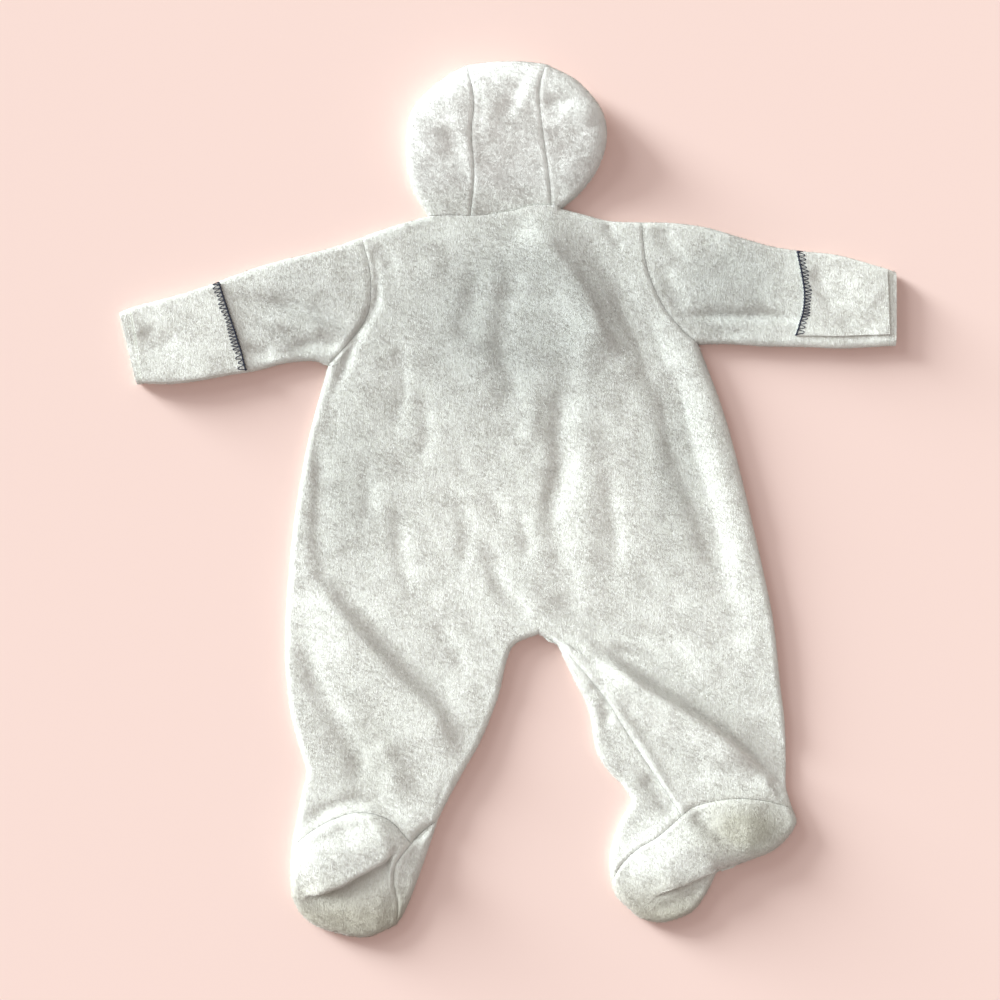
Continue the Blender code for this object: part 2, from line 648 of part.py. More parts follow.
def left_crease_run():
    return even(smooth(LEFT_TURNED_SEAM[:3]), CREASE_ROWS + 1)[::-1]


def right_heel_run():
    line = smooth(RIGHT_HEEL_SEAM)
    return read(line, shares(length(line), LEG_INNER, CROTCH_STEPS, EDGE_STEPS))


def front_edge(side, rows):
    """Centre edge of a front: clear of the zip, and closing below its end."""
    centre = read(smooth(CENTRE_LINE), rows)
    centre[0, 1] -= HALF_GAP
    closing = ease((centre[:, 1] - ZIP_END) / ZIP_CLOSE)
    offset = HALF_GAP + (ZIP_GAP - HALF_GAP) * closing
    return centre + np.stack((side * offset, np.zeros(len(centre))), -1)


def turned_edge(outline, seam):
    """Strip of a front that is turned up over its edge, from that edge to the seam."""
    across = np.array(TURN_COLUMNS)[None, :, None]
    patch = outline[:, None] * (1 - across) + seam[:, None] * across
    heights = body_top(patch)
    heights[:, 0] = FRONT_RIM
    strip = raised(patch, heights)
    strip[0] = strip[0, 0]
    strip[-1] = strip[-1, 0]
    return strip


def front_torso(side, shoulder, front_neck, hip):
    """Torso of one front, from its side to the centre, or the other way about."""
    edge = torso_side(side, under_shares, FRONT_SIDE_ROWS)
    centre = front_edge(side, run_shares(edge))
    neck = read(smooth(front_neck), HEM_COLUMNS if side < 0 else hem_back())
    neck = moved(neck, -HALF_GAP)
    shoulder = even(smooth(shoulder), FRONT_SHOULDER_COLUMNS)
    if side < 0:
        neck[-1] = centre[0]
        top = joined(shoulder, neck)
        top[0] = edge[0]
        hip[-1] = centre[-1]
        return coons(edge, centre, top, hip)
    neck[0] = centre[0]
    top = joined(neck, shoulder)
    top[-1] = edge[0]
    hip[0] = centre[-1]
    return coons(centre, edge, top, hip)


def hem_back():
    return 1 - np.array(HEM_COLUMNS)[::-1]


def front_hip(line, crotch_last):
    inner = FRONT_SHOULDER_COLUMNS + len(HEM_COLUMNS) - 1
    first, last = (UNDER_STEPS, CROTCH_STEPS) if crotch_last else (CROTCH_STEPS, UNDER_STEPS)
    inner -= len(UNDER_STEPS) + len(CROTCH_STEPS) + 2
    return read(line, shares(length(line), inner, first, last))


def make_front_left(material):
    hip = front_hip(smooth(HIP_LEFT), True)
    torso = front_torso(-1, LEFT_SHOULDER, FRONT_NECK_LEFT, hip)
    line = smooth(LEFT_FOOT_INNER)
    inner = even(smooth(columns(LEFT_LEG, 2)), FRONT_LEG_ROWS)
    inner[0] = hip[-1]
    seam = joined(moved(left_crease_run()[::-1], HALF_GAP),
                  moved(left_sole_run(), HALF_GAP))
    foot = read(line, run_shares(seam))
    foot_outer = even(smooth(LEFT_FOOT_OUTER), len(foot))
    leg = coons(joined(even(smooth(columns(LEFT_LEG, 0)), FRONT_LEG_ROWS), foot_outer),
                joined(inner, foot), hip, even(smooth(LEFT_TOE), len(hip)))
    strip = turned_edge(foot, seam)
    grids = [raised(patch, body_under(patch)) for patch in (torso, leg)]
    cloth("front_left", [strip], grids, material, level=True)


def left_sole_run():
    return read(smooth(LEFT_SOLE_SEAM), lip_shares(LEFT_LIP[-1][1]))


def make_front_right(material):
    hip = front_hip(smooth(HIP_RIGHT), False)
    torso = front_torso(1, RIGHT_SHOULDER, FRONT_NECK_RIGHT, hip)
    leg_line = smooth(columns(RIGHT_LEG, 2))
    start = length(smooth(columns(RIGHT_LEG[:2], 2))) / length(leg_line)
    turned = read(leg_line, np.linspace(start, 1, INSEAM_ROWS))
    foot = even(smooth(RIGHT_FOOT_INNER), SOLE_SEAM_ROWS)
    inner = joined(hip[:1], np.vstack((hip[:1], turned)), foot,
                   even(smooth(RIGHT_TOE_SIDE), 3))
    outer_leg = even(smooth(columns(RIGHT_LEG, 0)), INSEAM_ROWS + 1)
    toe = smooth(RIGHT_TOE)
    outer_foot = even(joined(smooth(RIGHT_HEEL_EDGE), toe[:TOE_CORNER - 1:-1]),
                      SOLE_SEAM_ROWS + 2)
    leg = coons(inner, joined(outer_leg, outer_foot), hip,
                even(toe[:TOE_CORNER + 1], len(hip)))
    seam = joined(even(smooth(RIGHT_INSEAM), INSEAM_ROWS),
                  even(smooth(RIGHT_SOLE_SEAM[::-1]), SOLE_SEAM_ROWS))
    strip = turned_edge(joined(turned, foot), moved(seam, -HALF_GAP))
    grids = [raised(patch, body_under(patch)) for patch in (torso, leg)]
    cloth("front_right", [strip], grids, material, level=True)


def tube(lower, upper, starts, ends):
    """Flattened tube: over the top from its upper edge to its lower one, and back."""
    top = coons(lower, upper, starts[0], ends[0])
    bottom = coons(lower, upper, starts[1], ends[1])[:, ::-1][:, 1:-1]
    heights = body_top(top)
    heights[:, (0, -1)] = FRONT_RIM
    return np.concatenate((raised(top, heights), raised(bottom, body_under(bottom))), 1)


def sleeve_lines(table, mitt_edge):
    """Edges of a sleeve, split where the mitten's free edge crosses them."""
    parts = []
    for first, pick in ((2, 0), (0, -1)):
        line = smooth(columns(table, first))
        split = int(np.linalg.norm(line - mitt_edge[pick], axis=1).argmin())
        parts.append((line[:split + 1], line[split:]))
    return parts


def make_sleeve(name, side, table, cuff, mitt_edge, bare, material):
    """Sleeve from the armhole to the cuff, its hem band, and the mitten that lies on it,
    which is made from the sleeve's own points moved out."""
    (low_arm, low_wrist), (high_arm, high_wrist) = sleeve_lines(table, mitt_edge)
    hole = moved(smooth(columns(ARMHOLES, 1 + side)), side * HALF_GAP)[::-1]
    wrist = points(table[-1][2:], table[-1][:2])
    edge = smooth((low_wrist[0], *mitt_edge[1:-1], high_wrist[0]))
    along = points(np.array(cuff[-1][2:]) - cuff[0][2:], np.array(cuff[-1][:2]) - cuff[0][:2])
    along /= np.linalg.norm(along, axis=1)[:, None]
    sleeve_end = wrist - along * HALF_GAP
    cuff_start = wrist + along * HALF_GAP
    cuff_end = points(cuff[-1][2:], cuff[-1][:2])
    spreads = (over_shares, under_shares)
    holes = [read(hole, spread(hole)) for spread in spreads]
    edges = [read(edge, spread(edge)) for spread in spreads]
    ends, starts, stops = ([read(line, spread(line)) for spread in spreads]
                           for line in (sleeve_end, cuff_start, cuff_end))
    low_wrist[-1], high_wrist[-1] = sleeve_end
    low_arm[0], high_arm[0] = hole[0], hole[-1]
    arm = tube(even(low_arm, UPPER_ARM_ROWS), even(high_arm, UPPER_ARM_ROWS), holes, edges)
    forearm = tube(even(low_wrist, FOREARM_ROWS), even(high_wrist, FOREARM_ROWS),
                   edges, ends)
    cloth("sleeve_" + name, [arm, forearm], (), material, closed=True)
    band = tube(points(cuff_start[0], (cuff_start[0] + cuff_end[0]) / 2, cuff_end[0]),
                points(cuff_start[1], (cuff_start[1] + cuff_end[1]) / 2, cuff_end[1]),
                starts, stops)
    cloth("cuff_" + name, [band], (), material, closed=True)
    covered = forearm[:, bare:len(holes[0]) - MITT_BARE_ABOVE]
    out = facing(covered)
    cloth("mitt_" + name, [covered + (MITT_LIFT + MITT_WALL) * out], (), material,
          MITT_WALL)


def facing(surface):
    """Upward unit normals of a surface given by rows of points."""
    down = np.gradient(surface, axis=0)
    across = np.gradient(surface, axis=1)
    out = np.cross(down, across)
    out /= np.linalg.norm(out, axis=-1)[..., None]
    return out * np.sign(out[..., 2:])


def hood_rows():
    line = smooth(HOOD_SEAM_LEFT)
    return shares(length(line), HOOD_INNER, (), EDGE_STEPS)


def make_hood_centre(material):
    rows = hood_rows()
    left = read(moved(smooth(HOOD_SEAM_LEFT), -HALF_GAP), rows)
    right = read(moved(smooth(HOOD_SEAM_RIGHT), HALF_GAP), rows)
    neck = moved(neck_runs()[1], HALF_GAP)
    neck[0] = left[0]
    neck[-1] = right[0]
    crown = even(smooth(HOOD_CROWN), HOOD_STRIP_COLUMNS)
    crown[0] = left[-1]
    crown[-1] = right[-1]
    top = coons(left, right, neck, crown)
    hem = even(smooth(HEM_CROWN), HOOD_STRIP_COLUMNS)
    hem[0, 0] += HALF_GAP
    hem[-1, 0] -= HALF_GAP
    under = coons(read(np.vstack((crown[0], hem[0])), HEM_COLUMNS),
                  read(np.vstack((crown[-1], hem[-1])), HEM_COLUMNS), crown, hem)
    top = raised(top, hood_top(top))
    under = raised(under, hood_under(under))
    top[-1, :, 2] = hood_rim(top[-1, :, :2])
    under[0] = top[-1]
    cloth("hood_centre", [top], [under], material)


def make_hood_side(side, outline, seam, neck, front_neck, hem, material):
    """Side of the hood: over the top from the seam to the outline, then underneath to
    the face opening. Its rows run from the neck to the crown, where they meet."""
    rows = hood_rows()
    seam = read(moved(smooth(seam), -side * HALF_GAP), rows)
    crown = seam[-1]
    edge = read(smooth(outline), rows)
    edge[-1] = crown
    neck = moved(neck, HALF_GAP)
    if side < 0:
        neck = neck[::-1]
    neck[0] = seam[0]
    edge[0] = neck[-1]
    top = coons(seam, edge, neck, np.tile(crown, (len(neck), 1)))
    hem = read(smooth(hem), rows)
    hem[:, 0] += side * HALF_GAP
    hem[0] += (side * (ZIP_GAP - HALF_GAP), HALF_GAP)
    front = read(smooth(front_neck), HEM_COLUMNS if side < 0 else hem_back())
    front = moved(front, HALF_GAP)
    if side > 0:
        front = front[::-1]
    front[0] = edge[0]
    front[-1] = hem[0]
    under = coons(edge, hem, front, read(np.vstack((crown, hem[-1])), HEM_COLUMNS))
    top = raised(top, hood_top(top))
    under = raised(under, hood_under(under))
    top[:, -1, 2] = hood_rim(top[:, -1, :2])
    top[-1] = top[-1, -1]
    under[:, 0] = top[:, -1]
    cloth("hood_left" if side < 0 else "hood_right", [top], [under], material)


def lip_shares(place):
    """Shares of the points across a sole, close together round its lip."""
    near = min(LIP_SPREAD, LIP_SPREAD_MOST * place, LIP_SPREAD_MOST * (1 - place))
    return np.concatenate((np.array(BEFORE_LIP) * (place - near),
                           np.linspace(place - near, place + near, len(LIP_PROFILE)),
                           place + near + np.array(AFTER_LIP) * (1 - place - near)))


def make_sole(name, seam, edge, left, right, lip, material):
    """Sole: from the seam over the fold's lip, back under it and out to the outline."""
    profile = np.array(LIP_PROFILE)
    before = np.array(BEFORE_LIP)[:, None]
    after = np.array(AFTER_LIP)[:, None]
    count = len(left)
    patch = coons(even(left, count), even(right, count), seam, edge, np.linspace(0, 1, count))
    rows = []
    for share, column in zip(run_shares(seam), patch.transpose(1, 0, 2)):
        place, amount = (np.interp(share, lip[:, 0], lip[:, k]) for k in (1, 2))
        flat = read(column, lip_shares(place))
        if share in (0, 1):
            flat = right if share else left
        way = flat[-1] - flat[0]
        nose = flat[0] + place * way
        way = way / max(np.linalg.norm(way), 1e-6)
        start = nose + LIP_START * way
        stop = nose + LIP_END * way
        folded = np.vstack((flat[0] + before * (start - flat[0]),
                            nose + profile[:, :1] * way,
                            stop + after * (flat[-1] - stop)))
        tall = heel_top(start[None])[0]
        low = toe_top(stop[None])[0]
        heights = np.concatenate((heel_top(folded[:len(before)]),
                                  low + profile[:, 1] * (tall - low),
                                  toe_top(folded[-len(after):])))
        amount *= ease((tall - low) / SOLE_DROP)
        mixed = flat + amount * (folded - flat)
        levels = (1 - amount) * body_top(mixed) + amount * heights
        rows.append(raised(mixed, levels))
    rows = np.array(rows)
    rows[:, -1, 2] = BACK_RIM
    for row in (rows[0], rows[-1]):
        if np.ptp(row[:, :2], axis=0).max() < 1.0:
            row[:] = row[-1]
    cloth(name, [rows], (), material, SOLE_WALL, level=True)


def make_left_sole(material):
    seam = moved(left_heel_run(), -HALF_GAP)
    left = read(smooth(LEFT_FOOT_OUTER), lip_shares(LEFT_LIP[0][1]))
    left[0, 1] -= HALF_GAP
    seam[0] = left[0]
    right = moved(left_sole_run(), -HALF_GAP)
    right[-1] = LEFT_SOLE_SEAM[-1]
    right[0] = seam[-1]
    edge = read(smooth(LEFT_TOE), run_shares(seam))
    make_sole("sole_left", seam, edge, left, right, np.array(LEFT_LIP), material)


def make_right_sole(material):
    sole = even(smooth(RIGHT_SOLE_SEAM), SOLE_SEAM_ROWS)
    seam = moved(joined(sole, right_heel_run()), -HALF_GAP)
    seam[0] = RIGHT_SOLE_SEAM[0]
    seam[-1] = points(RIGHT_HEEL_SEAM[-1])[0] - (0, HALF_GAP)
    edge = chain(RIGHT_TOE_SIDE, RIGHT_TOE, RIGHT_HEEL_EDGE[::-1])
    edge = read(edge, run_shares(seam))
    edge[-1] = seam[-1]
    count = len(lip_shares(0))
    make_sole("sole_right", seam, edge, np.tile(seam[0], (count, 1)),
              np.tile(seam[-1], (count, 1)), np.array(RIGHT_LIP), material)


def make_zip(material):
    """Zip: two tapes and the closed chain between them, one section along the centre."""
    centre = smooth(CENTRE_LINE)
    centre = centre[(centre[:, 1] < ZIP_TOP) & (centre[:, 1] > ZIP_END)]
    section = ((-TAPE_HALF, TAPE_LOW), (-CHAIN_HALF, TAPE_LOW), (-CHAIN_HALF, CHAIN_LOW),
               (CHAIN_HALF, CHAIN_LOW), (CHAIN_HALF, TAPE_LOW), (TAPE_HALF, TAPE_LOW),
               (TAPE_HALF, TAPE_HIGH), (CHAIN_HALF, TAPE_HIGH), (CHAIN_HALF, CHAIN_HIGH),
               (-CHAIN_HALF, CHAIN_HIGH), (-CHAIN_HALF, TAPE_HIGH),
               (-TAPE_HALF, TAPE_HIGH))
    mesh = bmesh.new()
    rows = []
    for x, y in read(centre, np.linspace(0, 1, ZIP_ROWS)):
        rows.append([mesh.verts.new((x * MM + u * MM, y * MM, z * MM)) for u, z in section])
    count = len(section)
    for upper, lower in zip(rows, rows[1:]):
        for i in range(count):
            after = (i + 1) % count
            mesh.faces.new((upper[i], upper[after], lower[after], lower[i]))
    mesh.faces.new(rows[0])
    mesh.faces.new(rows[-1][::-1])
    bmesh.ops.recalc_face_normals(mesh, faces=mesh.faces)
    add_object("zip", mesh, material)


def plate(name, outline, low, high, material):
    """Flat plate of an outline seen from above."""
    mesh = bmesh.new()
    face = mesh.faces.new([mesh.verts.new((x * MM, y * MM, low * MM)) for x, y in outline])
    up = bmesh.ops.extrude_face_region(mesh, geom=[face], use_keep_orig=True)
    verts = [item for item in up["geom"] if isinstance(item, bmesh.types.BMVert)]
    bmesh.ops.translate(mesh, verts=verts, vec=(0, 0, (high - low) * MM))
    bmesh.ops.recalc_face_normals(mesh, faces=mesh.faces)
    return add_object(name, mesh, material)


def make_slider(material):
    """Slider: a plate under the chain with two ears that carry the pull."""
    x = CENTRE_LINE[0][0]
    top = ZIP_TOP - SLIDER_TOP
    bottom = top - SLIDER_LENGTH
    tip = bottom - EAR_LENGTH
    half = SLIDER_HALF
    ear = half - EAR_WIDTH
    outline = ((x - half, top), (x + half, top), (x + half, tip), (x + ear, tip),
               (x + ear, bottom), (x - ear, bottom), (x - ear, tip), (x - half, tip))
    plate("zip_slider", outline, SLIDER_LOW, SLIDER_HIGH, material)


def make_pull(material):
    """Pull tab: it turns between the slider's ears, about a line across the zip."""
    x = CENTRE_LINE[0][0]
    top = ZIP_TOP - SLIDER_TOP - SLIDER_LENGTH - PULL_PIVOT
    end = top - PULL_LENGTH
    half = PULL_HALF
    outline = [(x - half, top), (x + half, top), (x + half, end)]
    outline += [(x + half * math.cos(a), end - half * math.sin(a))
                for a in np.linspace(0, math.pi, 9)[1:-1]]
    outline.append((x - half, end))
    pull = plate("zip_pull", outline, PULL_LOW, PULL_HIGH, material)
    pivot = ((x - MIDDLE_X) * MM, (top - PULL_PIVOT) * MM, (PULL_LOW + PULL_HIGH) / 2 * MM)
    pull.data.transform(Matrix.Translation(-Vector(pivot)))
    pull.location = pivot


def start_scene():
    for thing in list(bpy.data.objects):
        bpy.data.objects.remove(thing)
    collection = bpy.data.collections.new("onesie")
    bpy.context.scene.collection.children.link(collection)


def main():
    start_scene()
    fleece = make_material("fleece", CREAM, 0.95)
    tape = make_material("zip_tape", TAPE_CREAM, 0.8)
    metal = make_material("zip_metal", METAL, 0.35, 1.0)
    make_back(fleece)
    make_front_left(fleece)
    make_front_right(fleece)
    make_sleeve("left", -1, LEFT_SLEEVE, LEFT_CUFF, LEFT_MITT_EDGE, LEFT_MITT_BARE, fleece)
    make_sleeve("right", 1, RIGHT_SLEEVE, RIGHT_CUFF, RIGHT_MITT_EDGE, RIGHT_MITT_BARE,
                fleece)
    make_hood_centre(fleece)
    make_hood_side(-1, HOOD_OUTLINE_LEFT, HOOD_SEAM_LEFT, neck_runs()[0],
                   FRONT_NECK_LEFT, HEM_LEFT, fleece)
    make_hood_side(1, HOOD_OUTLINE_RIGHT, HOOD_SEAM_RIGHT, neck_runs()[2],
                   FRONT_NECK_RIGHT, HEM_RIGHT, fleece)
    make_left_sole(fleece)
    make_right_sole(fleece)
    make_zip(tape)
    make_slider(metal)
    make_pull(metal)


main()
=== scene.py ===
"""Hooded footed onesie in cream fleece, laid flat with its back upwards: its cloth in fine
shells, its pile, sewing and zip, the floor, the lights and the camera.

Tables are in millimetres, seen from above, as in the source of the part.
"""

import math

import bmesh
import bpy
import numpy as np
from mathutils import Matrix, Vector

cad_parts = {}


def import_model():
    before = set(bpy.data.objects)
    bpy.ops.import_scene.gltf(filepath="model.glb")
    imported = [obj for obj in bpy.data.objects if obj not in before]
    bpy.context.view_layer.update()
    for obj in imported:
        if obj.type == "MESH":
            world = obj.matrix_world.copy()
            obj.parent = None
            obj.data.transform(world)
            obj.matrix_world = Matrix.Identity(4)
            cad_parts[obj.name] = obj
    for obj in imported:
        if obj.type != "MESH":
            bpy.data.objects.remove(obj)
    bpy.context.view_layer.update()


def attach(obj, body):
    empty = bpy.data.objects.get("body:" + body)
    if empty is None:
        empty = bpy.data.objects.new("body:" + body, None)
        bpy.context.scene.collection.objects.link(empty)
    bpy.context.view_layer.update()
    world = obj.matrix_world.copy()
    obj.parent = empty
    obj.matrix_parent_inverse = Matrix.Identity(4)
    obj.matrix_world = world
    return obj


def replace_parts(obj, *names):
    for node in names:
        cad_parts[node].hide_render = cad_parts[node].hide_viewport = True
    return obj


MM = 0.001

# Cloth, seams and the flat body
WALL = 2.2
SEAM_GAP = 0.3
HALF_GAP = SEAM_GAP / 2
SEAM_LEVEL = 3.6
FLAT_HEIGHT = 8.2
LEAST_HEIGHT = 4.9
EDGE_RADIUS = 5.5
EDGE_GROWTH = 0.6
UNDER_RADIUS = 5.0
VALLEY_DEPTH = 0.45
VALLEY_WIDTH = 2.2
FRONT_RIM = SEAM_LEVEL
BACK_RIM = SEAM_LEVEL + SEAM_GAP
EDGE_STEPS = (0.8, 2.4, 5.0, 9.0)
ON_EDGE = 0.03
ON_RIM = 0.001
MERGE = 0.02
MIDDLE_X = -1.0
SHARP_ANGLE = math.radians(50)

# How finely lines and surfaces are divided: counts, and steps or shares from an edge
FINE = 5
LINE_STEPS = 10
FOLD_STEPS = 6
CROTCH_STEPS = (2.0, 5.0, 9.0)
UNDER_STEPS = (1.0, 5.0)
ARMHOLE_INNER = 5
UNDER_INNER = 3
SIDE_ROWS = 17
FRONT_SIDE_ROWS = 7
LEG_INNER = 9
LEG_ROWS = 12
FRONT_LEG_ROWS = 8
SHOULDER_COLUMNS = 8
FRONT_SHOULDER_COLUMNS = 4
CREASE_ROWS = 3
INSEAM_ROWS = 11
SOLE_SEAM_ROWS = 6
TURN_COLUMNS = (0, 0.06, 0.16, 0.32, 0.62, 1)
UPPER_ARM_ROWS = 7
FOREARM_ROWS = 6
HOOD_STRIP_COLUMNS = 7
HOOD_INNER = 7
HOOD_SIDE_COLUMNS = (0, 0.22, 0.44, 0.64, 0.8, 0.91, 0.97, 1)
HEM_COLUMNS = (0, 0.06, 0.2, 0.4, 0.65, 1)
ZIP_ROWS = 12
TOE_CORNER = 3 * LINE_STEPS
HIP_COLUMNS = LEG_INNER + len(EDGE_STEPS) + len(CROTCH_STEPS) + 2

# Hood
HOOD_HEIGHT = 24.5
HOOD_RADIUS = 22.0
HOOD_RIM = 12.0
HOOD_UNDER = 14.0
HOOD_BLEND = 85.0

# Mittens, cuffs and soles
SOLE_WALL = 2.0
BEFORE_LIP = (0, 0.35, 0.7)
AFTER_LIP = (0.2, 0.5, 0.75, 0.9, 1)
LIP_SPREAD = 0.12
LIP_SPREAD_MOST = 0.6
SOLE_DROP = 12.0
MITT_WALL = 2.0
MITT_LIFT = 0.4

# Zip
ZIP_GAP = 3.8
ZIP_TOP = 199.0
ZIP_END = -80.0
ZIP_CLOSE = 14.0
CHAIN_LOW = 1.3
CHAIN_HIGH = 3.4
SLIDER_HALF = 3.5
SLIDER_LENGTH = 8.0
SLIDER_LOW = 0.2
SLIDER_HIGH = 1.0
SLIDER_TOP = 3.0
EAR_WIDTH = 0.9
EAR_LENGTH = 2.4
PULL_HALF = 2.2
PULL_LENGTH = 20.0
PULL_LOW = 0.25
PULL_HIGH = 0.95
PULL_PIVOT = 0.4

# Outline of the body, columns: left x, left y, right x, right y
ARMHOLES = ((-118, 211, 106, 223), (-111, 180, 110, 188), (-113, 150, 122, 158),
            (-127, 128, 138, 137), (-145, 108, 152, 125))
SIDES = ((-145, 108, 152, 125), (-161, 48, 173, 68), (-172, -16, 191, 0),
         (-178, -80, 209, -80), (-179, -112, 214, -112))

# Legs, columns: outer x, outer y, inner x, inner y
LEFT_LEG = ((-179, -112, 24, -107), (-179, -130, 5, -115), (-178, -144, -2, -129),
            (-175, -169, -9, -158), (-169, -193, -23, -193), (-162, -217, -36, -216),
            (-166, -236, -47, -236), (-174, -278, -57, -256))
RIGHT_LEG = ((214, -112, 24, -107), (216, -132, 38, -115), (218, -152, 48, -135),
             (221, -176, 64, -168), (222, -208, 70, -200), (222, -228, 80, -217),
             (225, -240, 92, -229), (227, -246, 99, -241))

# Sleeves from armhole to cuff, columns: upper x, upper y, lower x, lower y
LEFT_SLEEVE = ((-118, 211, -145, 108), (-140, 203.5, -158, 112), (-165, 197, -180, 110),
               (-190, 190.5, -203, 104), (-215, 182.5, -225, 100.5), (-240, 173, -249, 96),
               (-268, 164, -272, 93.5), (-302, 155, -293, 94))
RIGHT_SLEEVE = ((106, 223, 152, 125), (132, 222.5, 163, 125.5), (160, 218.5, 178, 125.5),
                (190, 209.5, 201, 124), (212, 203.5, 222, 123.5), (235, 200, 242, 123),
                (265, 196.5, 268, 122), (302, 186, 305, 124))
LEFT_CUFF = ((-302, 155, -293, 94), (-312, 151, -298, 93))
RIGHT_CUFF = ((302, 186, 305, 124), (310, 183, 310, 124))

# Lines seen from above, as x, y
LEFT_SHOULDER = ((-118, 211), (-99, 218), (-79, 224), (-65, 228))
RIGHT_SHOULDER = ((42, 234), (61, 229), (81, 224), (106, 223))
NECK_LEFT = ((-65, 228), (-49, 228.5), (-31, 228))
NECK_MIDDLE = ((-31, 228), (-14, 229), (4, 232), (20, 236), (34, 236.5))
NECK_RIGHT = ((34, 236.5), (38, 236), (42, 234))
FRONT_NECK_LEFT = ((-65, 228), (-52, 215), (-31, 206), (-6, 203))
FRONT_NECK_RIGHT = ((-6, 203), (9, 208), (24, 221), (42, 234))
CENTRE_LINE = ((-6, 203), (-6, 185), (-6, 165), (1, 110), (12, 20), (24, -107))
CENTRE_BACK = ((0, 231), (4, 136), (10, 56), (18, -24), (24, -107))
HIP_LEFT = ((-179, -112), (-60, -104), (2, -98), (16, -98.5), (24, -107))
HIP_RIGHT = ((24, -107), (33, -98.5), (48, -97), (120, -104), (214, -112))

# Left foot
LEFT_FOOT_OUTER = ((-174, -278), (-175, -297), (-174, -318))
LEFT_FOOT_INNER = ((-57, -256), (-68, -289), (-81, -324), (-90, -340))
LEFT_TOE = ((-174, -318), (-166, -332), (-150, -343), (-116, -350), (-90, -340))
LEFT_HEEL_SEAM = ((-174, -278), (-159, -265), (-139, -254), (-118, -249), (-96, -255),
                  (-78, -274))
LEFT_SOLE_SEAM = ((-78, -274), (-90, -290), (-92, -306), (-89, -322), (-90, -340))
LEFT_TURNED_SEAM = ((-57, -256), (-68, -264), (-78, -274), (-90, -290), (-92, -306),
                    (-89, -322), (-90, -340))

# Right leg and foot
RIGHT_INSEAM = ((38, -115), (47, -123), (59, -136), (78, -160), (97, -190), (114, -216),
                (138, -252))
RIGHT_SOLE_SEAM = ((82, -305), (90, -291), (103, -278), (119, -268), (138, -252))
RIGHT_HEEL_SEAM = ((138, -252), (148, -245), (165, -240), (185, -238), (206, -240),
                   (227, -246))
RIGHT_FOOT_INNER = ((99, -241), (88, -260), (81, -285), (82, -305))
RIGHT_TOE_SIDE = ((82, -305), (86, -317), (95, -326))
RIGHT_HEEL_EDGE = ((227, -246), (230, -260), (214, -279), (190, -289), (167, -296))
RIGHT_TOE = ((95, -326), (106, -335), (124, -338), (146, -330), (158, -315), (167, -296))

# Hood
HOOD_OUTLINE_LEFT = ((-65, 228), (-78, 252), (-82, 280), (-79, 308), (-64, 327), (-47, 340),
                     (-34, 347))
HOOD_CROWN = ((-34, 347), (-15, 349.5), (9, 350), (29, 348))
HOOD_OUTLINE_RIGHT = ((42, 234), (57, 247), (71, 266), (78, 288), (74, 311), (55, 334),
                      (29, 348))
HOOD_SEAM_LEFT = ((-31, 228), (-28, 260), (-30, 292), (-28, 318), (-34, 347))
HOOD_SEAM_RIGHT = ((34, 236.5), (31, 265), (25, 305), (24, 326), (29, 348))
HEM_LEFT = ((-6, 203), (-32, 215), (-50, 240), (-58, 270), (-55, 305), (-32, 325))
HEM_CROWN = ((-32, 325), (-3, 328), (27, 326))
HEM_RIGHT = ((-6, 203), (6, 219), (23, 243), (41, 270), (46, 304), (27, 326))

# Share of a fold's path over which it grows, and its share of the height at its ends
FOLD_FADE = 0.25
FOLD_ENDS = 0.25

